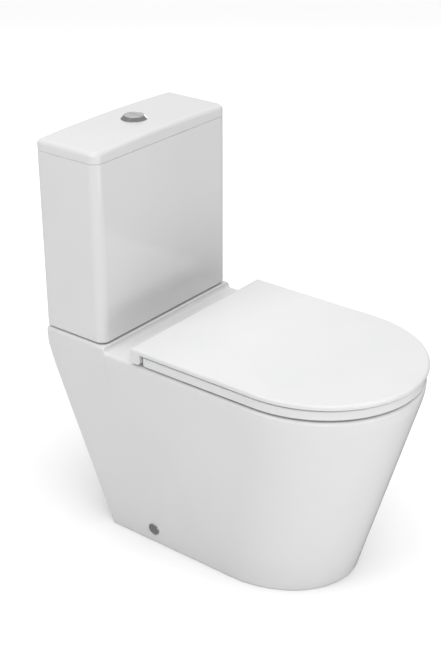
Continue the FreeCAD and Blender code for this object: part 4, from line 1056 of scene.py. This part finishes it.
def buildBuffers():
    ringTop = ringLow.z + 0.0004
    pairs = [bufferPair("ringBuffers", "back", buffer["foot"], ringTop),
             bufferPair("frontBuffers", "front", buffer["foot"], ringTop),
             bufferPair("lidBuffers", "lid", seatRing["top"] + 0.0003, buffer["lidTop"])]
    joinPieces(pairs[0], [pairs.pop(1)])
    for piece, body, node in zip(pairs, ("seat_ring_body", "seat_lid_body"), ("ring_buffers", "lid_buffers")):
        smoothPiece(piece, 35.0)
        settle(piece, body, "clear_buffer", node)


bracket = {
    "face": 0.119, "thick": 0.006, "foot": 0.030, "width": 0.035, "height": 0.050, "depth": 0.212, "bend": 0.004,
    "screwHole": 0.0032, "floorHole": 0.0042, "floorSpread": 0.102,
}


def buildBrackets():
    size, y = bracket, wallY - bracket["depth"]
    face, inner, bend, thick = size["face"], size["face"] - size["thick"], size["bend"], size["thick"]
    outline = [(face, 0.0), (face, size["height"]), (inner, size["height"]), (inner, thick + bend)]
    for angle in (22, 45, 67):
        across, up = 1 - math.cos(math.radians(angle)), 1 - math.sin(math.radians(angle))
        outline.append((inner - bend * across, thick + bend * up))
    outline += [(inner - bend, thick), (face - size["foot"], thick), (face - size["foot"], 0.0)]
    for side, node in ((-1, "floor_bracket_left"), (1, "floor_bracket_right")):
        name = "floorBracket" + ("Left" if side < 0 else "Right")
        piece = flatPiece(name, [(side * x, z) for x, z in outline], y - size["width"] / 2, y + size["width"] / 2,
                          bracketPlastic)
        bevelBlock(piece, 0.0008, 3, 60.0)
        seat, outward = capLine(side, "screw_cap_left" if side < 0 else "screw_cap_right")
        x = side * size["floorSpread"]
        tools = [rodMesh("screwHole", seat + outward * 0.01, seat - outward * 0.06, size["screwHole"], 24),
                 rodMesh("floorHole", (x, y, -0.01), (x, y, 0.02), size["floorHole"], 32)]
        carve(piece, tools, "DIFFERENCE")
        smoothPiece(piece, 35.0)
        settle(piece, "root", "bracket_plastic", node)


buildPan()
print("pan made")
buildTank()
buildTankLid()
print("cistern made")
buildSeatLid()
buildSeatRing()
print("seat made")
buildButton()
buildCaps()
buildPosts()
print("metal pieces made")
buildFasteners()
buildBuffers()
buildBrackets()
print("fasteners made")


studio = {"floor": 14.0, "room": 0.08, "backdrop": 0.80, "mirrored": 0.28, "sky": 2.98, "skyAngle": 80.0}
stageMesh = bmesh.new()
half = studio["floor"] / 2
corners = ((-half, -half, 0), (half, -half, 0), (half, half, 0), (-half, half, 0))
stageMesh.faces.new(addRow(stageMesh, corners))
floorMaterial, floorNodes, floorLinks, floorShader, floorCoords = newMaterial("paleFloor")
floorShader.inputs["Base Color"].default_value = (0.97, 0.97, 0.97, 1)
floorTone = addRange(floorNodes, floorLinks, addNoise(floorNodes, floorLinks, floorCoords, 3.0), 0.75, 0.85)
floorLinks.new(floorTone, floorShader.inputs["Roughness"])
floor = toObject(stageMesh, "paleFloor", floorMaterial)
floor.visible_glossy = False  # the glaze mirrors the room, not the bright floor

world = bpy.data.worlds.new("paleRoom")
scene.world = world
world.use_nodes = True
room = world.node_tree.nodes["Background"]
room.inputs["Color"].default_value = (1.0, 1.0, 1.0, 1.0)
ray = world.node_tree.nodes.new("ShaderNodeLightPath")
roomLevel = None
for label, level in (("Is Camera Ray", studio["backdrop"]), ("Is Glossy Ray", studio["mirrored"])):
    share = world.node_tree.nodes.new("ShaderNodeMath")
    share.operation = "MULTIPLY_ADD"
    world.node_tree.links.new(ray.outputs[label], share.inputs[0])
    share.inputs[1].default_value = level - studio["room"]
    share.inputs[2].default_value = studio["room"]
    if roomLevel is not None:
        world.node_tree.links.new(roomLevel, share.inputs[2])
    roomLevel = share.outputs[0]
world.node_tree.links.new(roomLevel, room.inputs["Strength"])


def addLamp(name, kind, place, target, power, width=1.0, height=1.0):
    light = bpy.data.lights.new(name, kind)
    light.energy = power
    if kind == "AREA":
        light.shape = "RECTANGLE"
        light.size, light.size_y = width, height
    else:
        light.angle = math.radians(studio["skyAngle"])
    lamp = bpy.data.objects.new(name, light)
    scene.collection.objects.link(lamp)
    lamp.location = place
    lamp.rotation_euler = (Vector(target) - Vector(place)).to_track_quat("-Z", "Y").to_euler()
    return lamp


overhead = addLamp("overhead", "SUN", (-0.15, -0.40, 3.0), (0, 0, 0), studio["sky"])
overhead.visible_glossy = False  # soft light only, the cards make the highlights
addLamp("leftFill", "AREA", (-1.7, 0.6, 2.3), (0, 0.25, 0.6), 13.0, 1.2, 1.2)
addLamp("viewFill", "AREA", (-2.4, -1.9, 1.7), (0, 0, 0.4), 17.5, 1.5, 1.5)
addLamp("front", "AREA", (0.2, -3.0, 0.9), (0, 0, 0.4), 7.5, 1.6, 1.2)
addLamp("frontLow", "AREA", (-0.40, -1.5, 0.22), (0.02, -0.2, 0.22), 1.9, 0.7, 0.4)
addLamp("backCard", "AREA", (2.4, 2.0, 1.9), (0.0, 0.1, 0.5), 9.5, 3.4, 2.4)
addLamp("rightCard", "AREA", (2.6, 1.25, 0.92), (0.0, 0.26, 0.76), 2.4, 0.9, 0.7)

view = bpy.data.cameras.new("camera")
view.lens, view.sensor_width = 75.83, 36.0
camera = bpy.data.objects.new("camera", view)
scene.collection.objects.link(camera)
right, up = Vector((0.61618824, -0.78759484, -0.00253343)), Vector((0.35242651, 0.27284739, 0.89518147))
forward = right.cross(up) * -1
pose = Matrix((right, up, -forward)).transposed().to_4x4()
camera.matrix_world = Matrix.Translation((-1.77316, -1.31905, 1.52887)) @ pose
scene.camera = camera
scene.view_settings.view_transform = "Standard"
